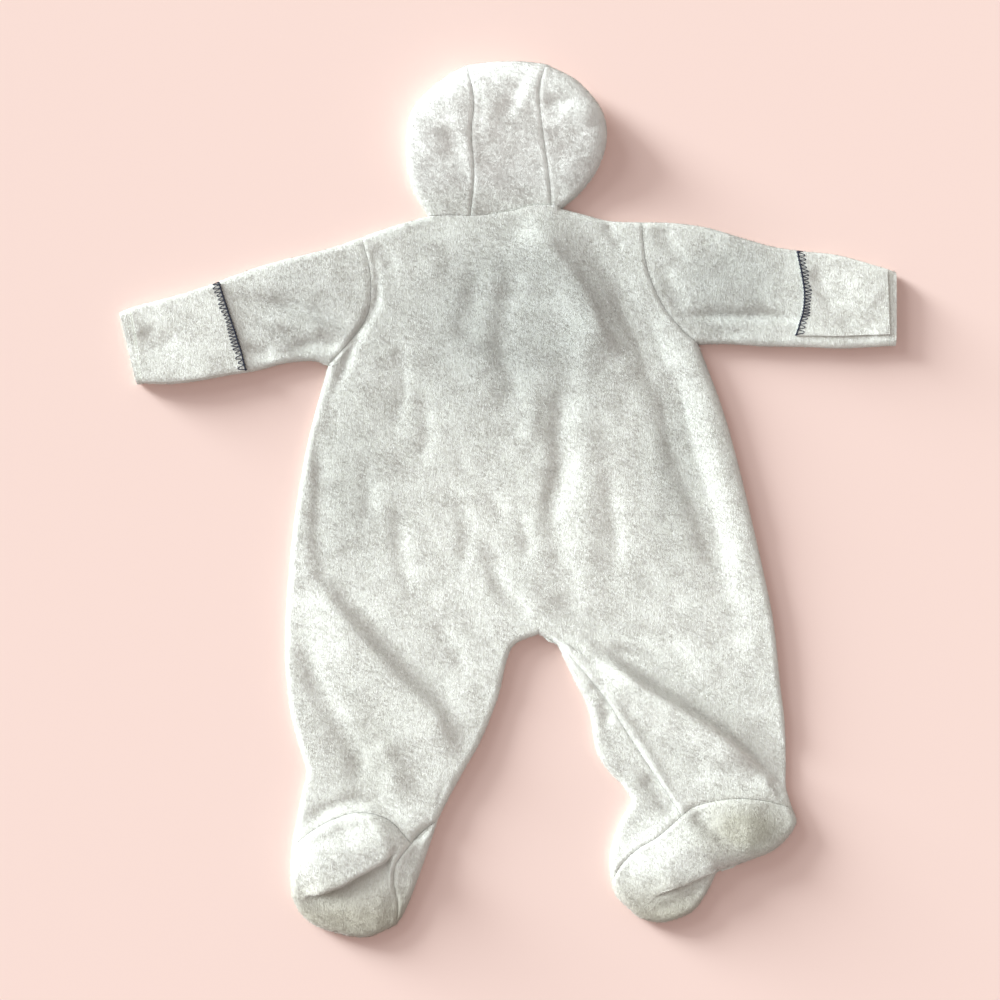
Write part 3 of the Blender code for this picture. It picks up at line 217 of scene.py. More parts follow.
# Folds, columns: height, width on the left of the path, width on its right, path
BODY_FOLDS = (
    (7.4, 17, 24, ((10, 226), (22, 214), (36, 197), (49, 180), (61, 160), (68, 143), (76, 125),
                  (86, 111))),
    (-2.0, 8, 4, ((30, 214), (45, 197), (58, 182), (70, 160), (78, 140), (92, 116))),
    (-6.4, 11, 12, ((68, 195), (80, 179), (92, 156), (105, 139), (114, 119), (119, 103),
                   (128, 90), (133, 72), (135, 56), (139, 40), (146, 22), (154, 2),
                   (164, -34), (172, -64), (184, -106))),
    (3.0, 12, 13, ((112, 160), (136, 124), (152, 92), (162, 58), (170, 24), (182, -20),
                   (196, -78))),
    (-3.2, 10, 8, ((37, 100), (42, 76), (39, 52), (42, 28), (36, 8), (34, -14), (40, -44))),
    (1.0, 6, 9, ((18, 94), (20, 66), (13, 38))),
    (1.3, 10, 12, ((60, 104), (63, 40), (62, -20), (67, -84))),
    (-1.2, 10, 9, ((-4, 204), (2, 180), (-2, 150), (-6, 122), (0, 92), (6, 66))),
    (-0.9, 10, 8, ((-24, 180), (-34, 150), (-40, 118))),
    (0.6, 9, 9, ((-14, 200), (-18, 150), (-22, 110))),
    (-2.3, 4, 4, ((-108, 198), (-106, 165), (-112, 148), (-123, 130), (-131, 108), (-139, 88))),
    (6.8, 13, 25, ((-160, -64), (-144, -84), (-122, -107), (-104, -129), (-84, -151),
                  (-62, -172), (-53, -192), (-55, -216))),
    (-5.0, 12, 4, ((-150, -62), (-134, -80), (-114, -102), (-96, -123), (-76, -144),
                   (-54, -164), (-44, -188))),
    (-2.0, 10, 5, ((-154, 48), (-152, 10), (-154, -30), (-149, -60))),
    (-3.6, 8, 9, ((-164, -106), (-157, -138), (-144, -166), (-131, -188), (-120, -212),
                   (-118, -234))),
    (2.6, 11, 8, ((-106, -190), (-94, -212), (-90, -238))),
    (14.5, 6, 20, ((62, -124), (86, -137), (107, -150), (128, -163), (149, -176), (169, -190),
                   (188, -205), (204, -223))),
    (-8.0, 15, 4, ((70, -115), (100, -131), (140, -157), (178, -182), (204, -205),
                   (222, -230))),
    (-5.0, 12, 8, ((176, -178), (200, -196), (218, -214))),
    (-2.3, 8, 6, ((26, -73), (45, -84), (66, -97), (88, -106), (108, -108), (128, -114),
                  (146, -132))),
    (1.8, 8, 8, ((40, -97), (70, -111), (110, -123), (150, -145), (192, -173))),
    (-2.5, 7, 6, ((114, -186), (138, -202), (158, -212), (178, -217), (200, -224))),
    (-2.6, 6, 5, ((67, -140), (77, -160), (79, -184))),
    (2.0, 4, 4, ((48, -119), (64, -135), (83, -160), (102, -188), (118, -214), (137, -247))),
    (-4.2, 5, 8, ((108, -216), (122, -236), (137, -253))),
    (-2.8, 6, 6, ((146, -249), (160, -261), (174, -274))),
    (-2.6, 6, 6, ((-17, -42), (-6, -70), (8, -84), (19, -94))),
    (-2.4, 5, 5, ((76, 224), (84, 211), (92, 201))),
    (-1.8, 7, 7, ((-88, -4), (-86, -48), (-79, -76))),
    (-1.5, 6, 6, ((-46, 52), (-34, 24), (-14, 4), (-4, -18))),
    (-1.4, 6, 6, ((-42, 2), (-34, -30), (-40, -58))),
    (-1.3, 6, 6, ((104, -58), (122, -76), (142, -86))),
    (-1.4, 7, 5, ((78, 30), (82, -14), (90, -52))),
    (-1.2, 6, 6, ((-74, 96), (-66, 60), (-70, 30))),
    (-1.2, 6, 6, ((-92, 130), (-84, 96), (-90, 64))),
    (-1.6, 5, 5, ((-108, 206), (-98, 194), (-92, 184))),
    (-1.3, 6, 6, ((-118, 30), (-112, 4), (-116, -20))),
    (-1.3, 6, 6, ((4, -4), (14, -30), (12, -52))),
    (-1.2, 6, 6, ((-60, -96), (-44, -120), (-34, -142))),
)
SLEEVE_FOLDS = (
    (-3.4, 5, 4, ((-216, 162), (-183, 157), (-160, 151), (-140, 142), (-120, 130))),
    (1.8, 8, 8, ((-210, 178), (-176, 171), (-146, 160))),
    (2.6, 7, 6, ((-200, 146), (-170, 140), (-146, 132))),
    (-2.4, 5, 5, ((-215, 121), (-187, 117))),
    (-2.2, 5, 5, ((-176, 121), (-153, 126), (-133, 122))),
    (-3.0, 4, 4, ((139, 148), (170, 148), (209, 148), (234, 144))),
    (-1.7, 5, 7, ((120, 222), (130, 203), (142, 188))),
    (-2.0, 8, 6, ((122, 194), (129, 172), (141, 150))),
    (2.2, 9, 9, ((118, 206), (136, 178), (152, 164), (186, 158))),
    (-1.6, 8, 8, ((160, 190), (186, 176), (214, 164))),
    (-1.4, 5, 5, ((160, 138), (176, 134), (192, 136))),
    (-3.0, 9, 9, ((-292, 140), (-284, 128), (-262, 122))),
    (-2.0, 8, 8, ((262, 148), (280, 138), (296, 136))),
    (-2.0, 7, 7, ((246, 190), (250, 170), (262, 152))),
    (1.6, 10, 10, ((272, 176), (286, 166), (296, 158))),
)
FOOT_RISES = (
    (12.0, 26, 24, ((-172, -298), (-150, -291), (-125, -284), (-100, -274), (-84, -262))),
    (9.6, 26, 26, ((92, -308), (118, -293), (146, -279), (170, -271), (194, -266),
                   (222, -262))),
)
FOOT_DIPS = (
    (2.0, 4, 4, ((-166, -276), (-150, -265), (-134, -258), (-116, -253.5), (-99, -259),
                 (-86, -270))),
    (-4.0, 4, 4, ((-76, -272), (-70, -266), (-60, -259))),
    (-2.2, 6, 5, ((-165, -262), (-146, -248), (-122, -241), (-98, -245), (-80, -258))),
    (-3.0, 8, 9, ((136, -246), (153, -254), (170, -264), (193, -272))),
)
HOOD_FOLDS = (
    (-1.4, 8, 12, ((-60, 320), (-67, 300), (-62, 272))),
    (-1.8, 7, 11, ((-50, 302), (-44, 281), (-38, 262), (-31, 238))),
    (1.6, 6, 6, ((-44, 306), (-36, 288), (-32, 268))),
    (-2.4, 7, 9, ((12, 338), (4, 318), (-5, 303))),
    (1.2, 6, 6, ((20, 342), (14, 324), (6, 308))),
    (-1.2, 5, 6, ((-25, 318), (-22, 300))),
    (-1.8, 4, 5, ((28, 316), (38, 317), (50, 315))),
    (1.8, 6, 6, ((38, 308), (54, 308), (70, 304))),
    (-1.2, 8, 8, ((50, 297), (58, 288))),
    (-5.0, 9, 12, ((40, 232), (51, 244), (66, 260))),
    (2.0, 7, 7, ((-72, 262), (-62, 244), (-48, 236))),
    (-1.2, 5, 5, ((-44, 246), (-38, 240))),
)

# Folded sole: width of a foot's rise on the side of the lip, and the rise, edge and
# folds of the toe under it
HEEL_REACH = 60
TOE_RISE = 2.6
TOE_RADIUS = 18.0
TOE_FOLDS = (
    (-2.6, 8, 14, ((-170, -319), (-150, -313), (-125, -302), (-100, -291))),
    (-2.2, 6, 8, ((108, -327), (135, -318), (160, -306))),
)

# Overhang of a folded sole, columns: run out from the lip, share of the drop left
LIP_PROFILE = ((-10, 1.0), (-5, 0.99), (-1.4, 0.9), (0, 0.7), (-1.2, 0.5), (-4, 0.4),
               (-7, 0.2), (-4.5, 0.03), (1.0, 0.0))
LIP_START = -10.0
LIP_END = 1.0

# Lip of each sole, columns: share of the sole's breadth, share of the way from the seam
# to the outline at which the lip lies, and how far the sole is folded there
LEFT_LIP = ((0, 0.9, 0), (0.04, 0.88, 0.8), (0.1, 0.83, 1), (0.25, 0.71, 1),
            (0.5, 0.59, 1), (0.75, 0.39, 1), (0.9, 0.24, 1), (1, 0.14, 0))
RIGHT_LIP = ((0, 0.75, 0), (0.16, 0.74, 0), (0.2, 0.72, 0.8), (0.24, 0.68, 1),
             (0.28, 0.64, 1), (0.35, 0.65, 1), (0.42, 0.7, 1), (0.49, 0.8, 1),
             (0.54, 0.9, 0.6), (0.58, 0.95, 0), (1, 0.95, 0))

# Free edge of each mitten, and the sleeve's columns that the mitten leaves bare below
LEFT_MITT_EDGE = ((-210.5, 103.5), (-218, 132), (-226, 156), (-232, 177))
LEFT_MITT_BARE = 2
RIGHT_MITT_EDGE = ((226, 123.5), (233.5, 145), (236, 162), (234, 180), (231, 200.5))
RIGHT_MITT_BARE = 4
MITT_BARE_ABOVE = 2

# Finer relief: seams, their lips, and small waves (height, size, seed, turn of the plan),
# of which the hood has a share
LINE_DEPTH = 0.15
LINE_WIDTH = 0.8
LIP_HEIGHT = 0.45
LIP_AWAY = 2.6
LIP_WIDTH = 1.5
NOISE_CELLS = 64
WRINKLES = (
    (0.6, 30, 1, ((0.95, 0.12), (0.3, -0.38))),
    (0.25, 17, 2, ((0.9, 0.2), (0.45, -0.45))),
    (0.08, 8, 3, ((0.6, -0.8), (0.8, 0.6))),
)
HOOD_WAVES = 0.6

# Cloth as cut, by node: flat width and length, flat area, how it is held, what it rests on
CUTS = {
    "back": ((0.40, 0.52), 0.145, "laid", ("floor",)),
    "front_left": ((0.22, 0.60), 0.080, "laid", ("floor",)),
    "front_right": ((0.24, 0.58), 0.080, "laid", ("floor",)),
    "sleeve_left": ((0.21, 0.18), 0.030, "laid", ("floor",)),
    "sleeve_right": ((0.21, 0.18), 0.030, "laid", ("floor",)),
    "cuff_left": ((0.13, 0.012), 0.0014, "laid", ("floor",)),
    "cuff_right": ((0.13, 0.012), 0.0012, "laid", ("floor",)),
    "mitt_left": ((0.09, 0.08), 0.0055, "laid", ("sleeve_left",)),
    "mitt_right": ((0.09, 0.08), 0.0048, "laid", ("sleeve_right",)),
    "hood_centre": ((0.07, 0.17), 0.010, "laid", ("floor",)),
    "hood_left": ((0.10, 0.14), 0.011, "laid", ("floor",)),
    "hood_right": ((0.10, 0.14), 0.011, "laid", ("floor",)),
    "sole_left": ((0.10, 0.13), 0.010, "folded", ("front_left",)),
    "sole_right": ((0.10, 0.14), 0.011, "folded", ("front_right",)),
}
SHELLS = tuple(CUTS)

# Pile, by piece: the nodes that it grows on, its hairs, the sheet that it belongs to, and
# its lowest and highest place up the garment, in metres
PILE = (
    ("pile_back_upper", ("back",), 124000, "back", (0.02, 1.0)),
    ("pile_back_lower", ("back",), 192000, "back", (-1.0, 0.02)),
    ("pile_arm_left", ("sleeve_left", "cuff_left", "mitt_left"), 45000, "sleeve_left", None),
    ("pile_arm_right", ("sleeve_right", "cuff_right", "mitt_right"), 45000,
     "sleeve_right", None),
    ("pile_hood", ("hood_left", "hood_centre", "hood_right"), 60000, "hood_centre", None),
    ("pile_feet", ("sole_left", "sole_right", "front_left", "front_right"), 60000,
     "sole_left", None),
)

# Hairs: least and most of their length, breadth and lean, and how their turn, lean and
# length change from tuft to tuft
HAIR_LENGTH = (0.9, 2.1)
HAIR_WIDTH = (0.10, 0.17)
HAIR_LEAN = (0.75, 1.25)
TUFT_SIZE = 1.4
WIDE_TUFT = 8 * TUFT_SIZE
UNDER_LEVEL = 3.0
LEAST_UPWARD = -0.25
HAIR_SHADE = 0.30
HAIR_WAY = -1.9
TURN_WIDE = 0.6
TURN_TUFT = 0.9
TURN_OWN = 0.5
LEAN_TUFT = 0.25
LENGTH_TUFT = 0.3

# Strokes of the nap: breadth, how many times longer they are, their turn, and those of
# its coarser relief; and the patches of two tones
NAP_SIZE = 1.0
NAP_STRETCH = 3.2
NAP_TURN = 0.25
COARSE_NAP = 2.5 * NAP_SIZE
STROKE_SPAN = (0.36, 0.64)
PATCH_SCALE = 55.0
PATCH_SPAN = (0.35, 0.68)

# Painted light on the hood, where the nap's darker strokes are left out: where it sets in, in
# metres up the garment, and its share
HOOD_LIGHT_FROM = 0.225
HOOD_LIGHT_TO = 0.255
HOOD_LIGHT_SHARE = 0.9

# Zones of painted shade on the cloth, and one of painted light on the hood: middle and reach of
# each, in metres, and its tone, which is full up to the core's share of the reach
TONE_CORE = 0.6
SHADE_AND_LIGHT_ZONES = (
    ((0.01, 0.15), (0.22, 0.18), (0.70, 0.71, 0.71, 1)),
    ((-0.17, 0.15), (0.10, 0.10), (0.82, 0.82, 0.82, 1)),
    ((0.18, 0.17), (0.10, 0.10), (0.76, 0.77, 0.77, 1)),
    ((0.19, -0.262), (0.07, 0.045), (0.62, 0.60, 0.54, 1)),
    ((-0.11, -0.20), (0.06, 0.10), (0.84, 0.835, 0.82, 1)),
    ((0.0, 0.29), (0.15, 0.12), (1.08, 1.08, 1.08, 1)),
    ((-0.125, 0.02), (0.08, 0.14), (0.84, 0.845, 0.84, 1)),
    ((0.135, 0.03), (0.05, 0.13), (0.80, 0.805, 0.80, 1)),
)

# Painted shade on the toes, which grows down the garment between two places
TOE_SHADE_TONE = (0.64, 0.605, 0.54, 1)
TOE_SHADE_FROM = -0.292
TOE_SHADE_TO = -0.332

# Thread of the mittens' edges: its reach in from the edge and how that varies, first and
# last place, radii, the twisted strands, and the pitch along each edge
STITCH_REACH = 5.6
REACH_MEAN = 0.93
REACH_SWING = 0.14
REACH_TURNS = 171
STITCH_FIRST = 0.006
STITCH_LAST = 0.99
STITCH_RADIUS = 0.36
ROPE_RADIUS = 0.42
ROPE_SWING = 0.38
ROPE_PITCH = 2.2
ROPE_AWAY = 0.15
ROPE_STEPS = 6
PITCH_LEFT = ((0, 4.4), (0.12, 4.2), (0.25, 2.8), (0.5, 2.9), (0.75, 3.4), (1, 3.2))
PITCH_RIGHT = ((0, 4.6), (0.14, 3.6), (0.24, 2.2), (0.5, 3.0), (0.8, 3.2), (1, 3.6))

# One stitch of such an edge, columns: share of its pitch, way in from the edge, share of
# its reach in, height above the cloth
STITCH_PATH = ((0, -0.5, 0, -1.6), (0, -0.55, 0, -0.3), (0.06, 0.5, 0, 0.42),
               (0.2, 0, 0.45, 0.34), (0.3, 0, 0.85, 0.3), (0.45, 0, 1, 0.05),
               (0.62, 0, 0.9, 0.3), (0.8, 0, 0.45, 0.34), (0.94, 0.5, 0, 0.42),
               (0.98, -0.55, 0, -0.3))

# Stitches of the cuffs: their rows, and one stitch as share of its length and height
CUFF_ROWS = (1.6, 5.0)
SEWN_PATH = ((0, -0.2), (0.15, 0.1), (0.5, 0.16), (0.85, 0.1), (1, -0.2))
SEWN_LENGTH = 2.6
SEWN_GAP = 0.7
SEWN_RADIUS = 0.22
CUFF_WIDTH = 9.5

# Zip: tapes' section on one side, teeth; the slider's plate, the crest on it, its ears and
# flanges and their pin; and the pull's neck, knuckle and ridges
TAPE_SECTION = ((0.5, 2.35), (0.9, 2.1), (1.5, 2.15), (2.1, 2.45), (9.6, 2.5), (10.0, 2.65),
                (10.0, 2.95), (9.6, 3.1), (2.1, 3.1), (1.4, 3.3), (0.8, 3.25), (0.45, 3.0))
TOOTH_PITCH = 2.4
TOOTH_OUTLINE = ((-0.62, 0.24), (-0.34, 0.5), (0.35, 0.5), (0.8, 0.3), (1.9, 0.42),
                 (2.2, 0.25), (2.2, -0.25), (1.9, -0.42), (0.8, -0.3), (0.35, -0.5),
                 (-0.34, -0.5), (-0.62, -0.24))
BEVEL = 0.16
TOOTH_START = 0.8
TOOTH_IN = 0.05
SLIDER_CORNER = 1.2
CREST_HALF = 1.5
CREST_BELOW = 1.2
CREST_ABOVE = 1.4
CREST_CORNER = 0.9
CREST_RISE = 0.12
CREST_DEPTH = 0.25
EAR_OVERLAP = 1.0
EAR_CORNER = 0.4
FLANGE = 0.8
FLANGE_IN = 0.8
FLANGE_CORNER = 0.35
FLANGE_CLEAR = 0.4
PIN_RADIUS = 0.42
PIN_IN = 0.2
PIN_THIN = 0.7 * PIN_RADIUS
PULL_NECK = 3.4
PULL_CORNER = PULL_HALF - 0.05
PULL_PIN_IN = 0.1
KNUCKLE_HALF = 1.1
KNUCKLE_LENGTH = 6.0
KNUCKLE_CORNER = 0.5
KNUCKLE_IN = 0.05
RIDGE_AT = (13.2, 14.8, 16.4)
RIDGE_IN = 0.6
RIDGE_HALF = 0.35
RIDGE_CORNER = 0.3
RIDGE_RISE = 0.1
ROUND_STEPS = 6

# Colours, linear
FLEECE_LIGHT = (0.90, 0.925, 0.89, 1)
FLEECE_SHADE = (0.86, 0.885, 0.85, 1)
FLEECE_FLECK = (0.85, 0.85, 0.80, 1)
HAIR_COLOUR = (0.95, 0.955, 0.925, 1)
HAIR_OTHER = (0.90, 0.91, 0.87, 1)
NAVY = (0.012, 0.016, 0.035, 1)
NAVY_LIGHT = (0.03, 0.036, 0.06, 1)
SEWING_CREAM = (0.72, 0.72, 0.66, 1)
TAPE_COLOUR = (0.66, 0.66, 0.60, 1)
METAL_COLOUR = (0.62, 0.62, 0.60, 1)
FLOOR_COLOUR = (0.92, 0.708, 0.645, 1)
FLOOR_OTHER = (0.905, 0.695, 0.632, 1)
FLOOR_HALF = 6.0

# Lamps: name, whether it lights the floor or else all the rest, direction, softness in
# degrees, power and colour; and the even surroundings
LAMPS = (
    ("ground_low", True, (-0.82, 0.56, 0.16), 20.0, 8.3, (0.87, 0.97, 0.99)),
    ("ground_high", True, (-0.74, 0.66, 0.34), 34.0, 2.1, (0.87, 0.97, 0.99)),
    ("key", False, (-0.94, 0.26, 0.24), 26.0, 4.5, (0.90, 0.965, 0.99)),
    ("broad", False, (-0.58, 0.46, 0.56), 55.0, 1.95, (0.90, 0.975, 0.99)),
)
WORLD_COLOUR = (1.0, 0.88, 0.85, 1)
WORLD_STRENGTH = 0.50

# Camera: width seen at the garment's level, centre of the view, heights, and range
VIEW_WIDTH = 0.8
VIEW_CENTRE = (-0.0062, 0.0004)
VIEW_LEVEL = 0.008
CAMERA_HEIGHT = 1.5
CAMERA_RANGE = 20


def smooth(points, steps=LINE_STEPS):
    """A smooth line through points, as many short straights."""
    points = np.array(points, float)
    if len(points) == 2:
        return points
    ends = np.vstack((2 * points[0] - points[1], points, 2 * points[-1] - points[-2]))
    line = []
    for a, b, c, d in zip(ends, ends[1:], ends[2:], ends[3:]):
        for t in np.arange(steps) / steps:
            line.append(0.5 * (2 * b + (c - a) * t + (2 * a - 5 * b + 4 * c - d) * t * t
                               + (3 * b - a - 3 * c + d) * t ** 3))
    line.append(points[-1])
    return np.array(line)


def chain(*lines):
    """Smooth lines joined end to end, with their corners kept."""
    return joined(*(smooth(line) for line in lines))


def columns(table, first):
    """Two neighbouring columns of a table as points."""
    return [row[first:first + 2] for row in table]


def length(line):
    return np.hypot(*np.diff(line, axis=0).T).sum()


def read(line, shares):
    """Points at shares of a line's length."""
    run = np.concatenate(([0], np.cumsum(np.hypot(*np.diff(line, axis=0).T))))
    at = np.asarray(shares) * run[-1]
    return np.stack((np.interp(at, run, line[:, 0]), np.interp(at, run, line[:, 1])), -1)


def moved(line, distance):
    """A line moved to the left of its own direction."""
    way = np.gradient(line, axis=0)
    way /= np.linalg.norm(way, axis=1)[:, None]
    return line + distance * np.stack((-way[:, 1], way[:, 0]), -1)


def finer(values):
    """Values with even steps set between each two."""
    at = np.arange((len(values) - 1) * FINE + 1) / FINE
    return np.interp(at, np.arange(len(values)), values)


def shares(total, inner, first=EDGE_STEPS, last=EDGE_STEPS):
    """Shares of a length: the given steps from each end, and even between."""
    start = [0.0] + [step / total for step in first]
    stop = [1.0 - step / total for step in reversed(last)] + [1.0]
    middle = np.linspace(start[-1], stop[0], inner + 2)[1:-1]
    return finer(np.concatenate((start, middle, stop)))


def joined(*runs):
    """Runs of points end to end, each starting where the last one ends."""
    return np.vstack([runs[0]] + [run[1:] for run in runs[1:]])


def points(*pairs):
    return np.array(pairs, float)


def even(line, count):
    """Points at even steps along a line, with finer ones between."""
    return read(line, finer(np.linspace(0, 1, count)))


def like(line, run):
    """As many even points along a line as a run has."""
    return read(line, np.linspace(0, 1, len(run)))


def distance(points, lines):
    """Distance from each point to the nearest of some lines."""
    flat = points.reshape(-1, 2)
    best = np.full(len(flat), np.inf)
    for line in lines:
        start = line[:-1]
        way = line[1:] - start
        square = np.maximum((way ** 2).sum(1), 1e-9)
        along = ((flat[:, None] - start) * way).sum(2) / square
        near = start + np.clip(along, 0, 1)[:, :, None] * way
        gap = np.linalg.norm(flat[:, None] - near, axis=2)
        best = np.minimum(best, gap.min(1))
    return best.reshape(points.shape[:-1])


# Smooth lines of the folds' paths, kept once made
FOLD_LINES = {}


def fold_height(points, folds):
    """Sum of the folds, each fading along its ends and to its two sides."""
    flat = points.reshape(-1, 2)
    total = np.zeros(len(flat))
    for height, left_width, right_width, path in folds:
        if path not in FOLD_LINES:
            FOLD_LINES[path] = smooth(path, FOLD_STEPS)
        line = FOLD_LINES[path]
        start = line[:-1]
        way = line[1:] - start
        square = (way ** 2).sum(1)
        along = ((flat[:, None] - start) * way).sum(2) / square
        near = start + np.clip(along, 0, 1)[:, :, None] * way
        gaps = np.linalg.norm(flat[:, None] - near, axis=2)
        pick = gaps.argmin(1)
        rows = np.arange(len(flat))
        off = flat - near[rows, pick]
        side = way[pick, 0] * off[:, 1] - way[pick, 1] * off[:, 0]
        width = np.where(side > 0, left_width, right_width)
        share = (pick + np.clip(along[rows, pick], 0, 1)) / len(way)
        fade = ease(np.minimum(share, 1 - share) / FOLD_FADE)
        fade = FOLD_ENDS + (1 - FOLD_ENDS) * fade
        total += height * fade * np.exp(-(gaps[rows, pick] / width) ** 2)
    return total.reshape(points.shape[:-1])


def rounded(gap, radius):
    """Rise of a round edge, 0 on the outline and 1 from radius on."""
    share = np.clip((gap - ON_EDGE) / radius, 0, 1)
    return np.sqrt(1 - (1 - share) ** 2)


def ease(value):
    """Smooth step from 0 to 1."""
    value = np.clip(value, 0, 1)
    return value * value * (3 - 2 * value)


# The outline's edges, the seams on top and the hood's edge, as lines
OUTLINE = [
    chain(columns(LEFT_SLEEVE, 0), columns(LEFT_CUFF, 0)),
    chain(columns(LEFT_SLEEVE, 2), columns(LEFT_CUFF, 2)),
    chain(columns(RIGHT_SLEEVE, 0), columns(RIGHT_CUFF, 0)),
    chain(columns(RIGHT_SLEEVE, 2), columns(RIGHT_CUFF, 2)),
    smooth(LEFT_SHOULDER), smooth(RIGHT_SHOULDER),
    chain(columns(SIDES, 0), columns(LEFT_LEG, 0), LEFT_FOOT_OUTER, LEFT_TOE),
    chain(columns(LEFT_LEG, 2), LEFT_FOOT_INNER),
    chain(columns(SIDES, 2), columns(RIGHT_LEG, 0), RIGHT_HEEL_EDGE),
    chain(columns(RIGHT_LEG, 2), RIGHT_FOOT_INNER, RIGHT_TOE_SIDE, RIGHT_TOE),
]
TOP_SEAMS = [
    smooth(columns(ARMHOLES, 0)), smooth(columns(ARMHOLES, 2)),
    smooth(RIGHT_INSEAM), smooth(RIGHT_SOLE_SEAM), smooth(RIGHT_HEEL_SEAM),
    smooth(LEFT_HEEL_SEAM), smooth(LEFT_TURNED_SEAM),
]
NECK = chain(NECK_LEFT, NECK_MIDDLE, NECK_RIGHT)
HOOD_EDGE = [chain(HOOD_OUTLINE_LEFT, HOOD_CROWN, HOOD_OUTLINE_RIGHT[::-1])]
HOOD_SEAMS = [smooth(HOOD_SEAM_LEFT), smooth(HOOD_SEAM_RIGHT)]


def body_top(points, folds=BODY_FOLDS + SLEEVE_FOLDS, rises=FOOT_RISES + FOOT_DIPS):
    """Height of the upper outer surface over body, sleeves, legs and feet."""
    full = np.maximum(FLAT_HEIGHT + fold_height(points, folds), LEAST_HEIGHT)
    full = full + fold_height(points, rises)
    radius = EDGE_RADIUS + EDGE_GROWTH * (full - FLAT_HEIGHT)
    edge = distance(points, OUTLINE)
    full = full + wrinkles(points)
    height = BACK_RIM + (full - BACK_RIM) * rounded(edge, radius)
    return height + seam_relief(distance(points, TOP_SEAMS)) * rounded(edge, radius)


def seam_relief(gap):
    """Sunken seam with a slight lip on each side."""
    valley = VALLEY_DEPTH * np.exp(-(gap / VALLEY_WIDTH) ** 2)
    line = LINE_DEPTH * np.exp(-(gap / LINE_WIDTH) ** 2)
    lip = LIP_HEIGHT * np.exp(-((gap - LIP_AWAY) / LIP_WIDTH) ** 2)
    return lip - valley - line


def noise(points, size, seed):
    """Smooth random values from -1 to 1, with lumps of a given size."""
    table = np.random.default_rng(seed).random((NOISE_CELLS, NOISE_CELLS))
    cell = points / size + NOISE_CELLS
    low = np.floor(cell).astype(int)
    share = ease(cell - low)
    i, j = low[..., 0], low[..., 1]
    k, m = (i + 1) % NOISE_CELLS, (j + 1) % NOISE_CELLS
    i, j = i % NOISE_CELLS, j % NOISE_CELLS
    u, v = share[..., 0], share[..., 1]
    near = table[i, j] * (1 - v) + table[i, m] * v
    far = table[k, j] * (1 - v) + table[k, m] * v
    return 2 * (near * (1 - u) + far * u) - 1


def wrinkles(points):
    """Small uneven waves of the cloth as it lies."""
    bent = points + 4 * np.stack((noise(points, 30, 5), noise(points, 34, 6)), -1)
    return sum(height * noise(bent @ np.array(turn), size, seed)
               for height, size, seed, turn in WRINKLES)


def toe_top(points):
    """Height of the lower half of a folded sole."""
    edge = rounded(distance(points, OUTLINE), TOE_RADIUS)
    return body_top(points, (), ()) + (TOE_RISE + fold_height(points, TOE_FOLDS)) * edge


def heel_top(points):
    """Height of the upper half of a folded sole, full up to its lip."""
    rises = [(height, left, HEEL_REACH, path) for height, left, _, path in FOOT_RISES]
    return body_top(points, rises=rises + list(FOOT_DIPS))


def body_under(points):
    """Height of the lower outer surface: flat, with its edges turned up to the seam."""
    return FRONT_RIM * (1 - rounded(distance(points, OUTLINE), UNDER_RADIUS))


def hood_share(points):
    """How far the hood has risen from the neck seam, 0 to 1."""
    share = np.clip(distance(points, [NECK]) / HOOD_BLEND, 0, 1)
    return (share + ease(share)) / 2


def hood_rim(points):
    """Height of the hood's widest line, which comes down to the neck's corners."""
    share = hood_share(points)
    return BACK_RIM + (HOOD_RIM - BACK_RIM) * share


def hood_top(points):
    """Height of the hood's dome, which starts from the neck seam."""
    share = hood_share(points)
    edge = rounded(distance(points, HOOD_EDGE), HOOD_RADIUS)
    low_edge = rounded(distance(points, HOOD_EDGE), EDGE_RADIUS)
    rim = hood_rim(points)
    dome = rim + (HOOD_HEIGHT - rim) * edge + fold_height(points, HOOD_FOLDS) * edge
    dome = dome + wrinkles(points) * edge * HOOD_WAVES
    seam = seam_relief(distance(points, HOOD_SEAMS))
    neck = BACK_RIM + (FLAT_HEIGHT - BACK_RIM) * low_edge
    return neck + (dome - neck) * share + seam * edge


def hood_under(points):
    """Height of the hood's lower outer surface, which ends at the face opening."""
    share = hood_share(points)
    radius = UNDER_RADIUS + (HOOD_UNDER - UNDER_RADIUS) * share
    return hood_rim(points) * (1 - rounded(distance(points, HOOD_EDGE), radius))


def run_shares(run):
    """Share of a run's length at each of its points."""
    steps = np.hypot(*np.diff(run, axis=0).T)
    return np.concatenate(([0], np.cumsum(steps))) / max(steps.sum(), 1e-6)


def coons(left, right, top, bottom, down=None):
    """Points of a four-sided patch that keeps the points of its four edges; down gives
    the shares of its rows where both sides are single points."""
    if down is None:
        down = (run_shares(left) + run_shares(right)) / 2
        if np.ptp(right, axis=0).max() < 1e-6:
            down = run_shares(left)
        if np.ptp(left, axis=0).max() < 1e-6:
            down = run_shares(right)
    v = np.array(down)[:, None, None]
    u_top = run_shares(top) if np.ptp(top, axis=0).max() > 1e-6 else run_shares(bottom)
    u_end = run_shares(bottom) if np.ptp(bottom, axis=0).max() > 1e-6 else u_top
    u = (1 - v) * u_top[None, :, None] + v * u_end[None, :, None]
    sides = (1 - u) * left[:, None] + u * right[:, None]
    ends = (1 - v) * top[None] + v * bottom[None]
    corners = ((1 - v) * ((1 - u) * top[0] + u * top[-1])
               + v * ((1 - u) * bottom[0] + u * bottom[-1]))
    return sides + ends - corners


def raised(points, heights):
    """Points seen from above with their heights."""
    return np.concatenate((points, heights[..., None]), -1)


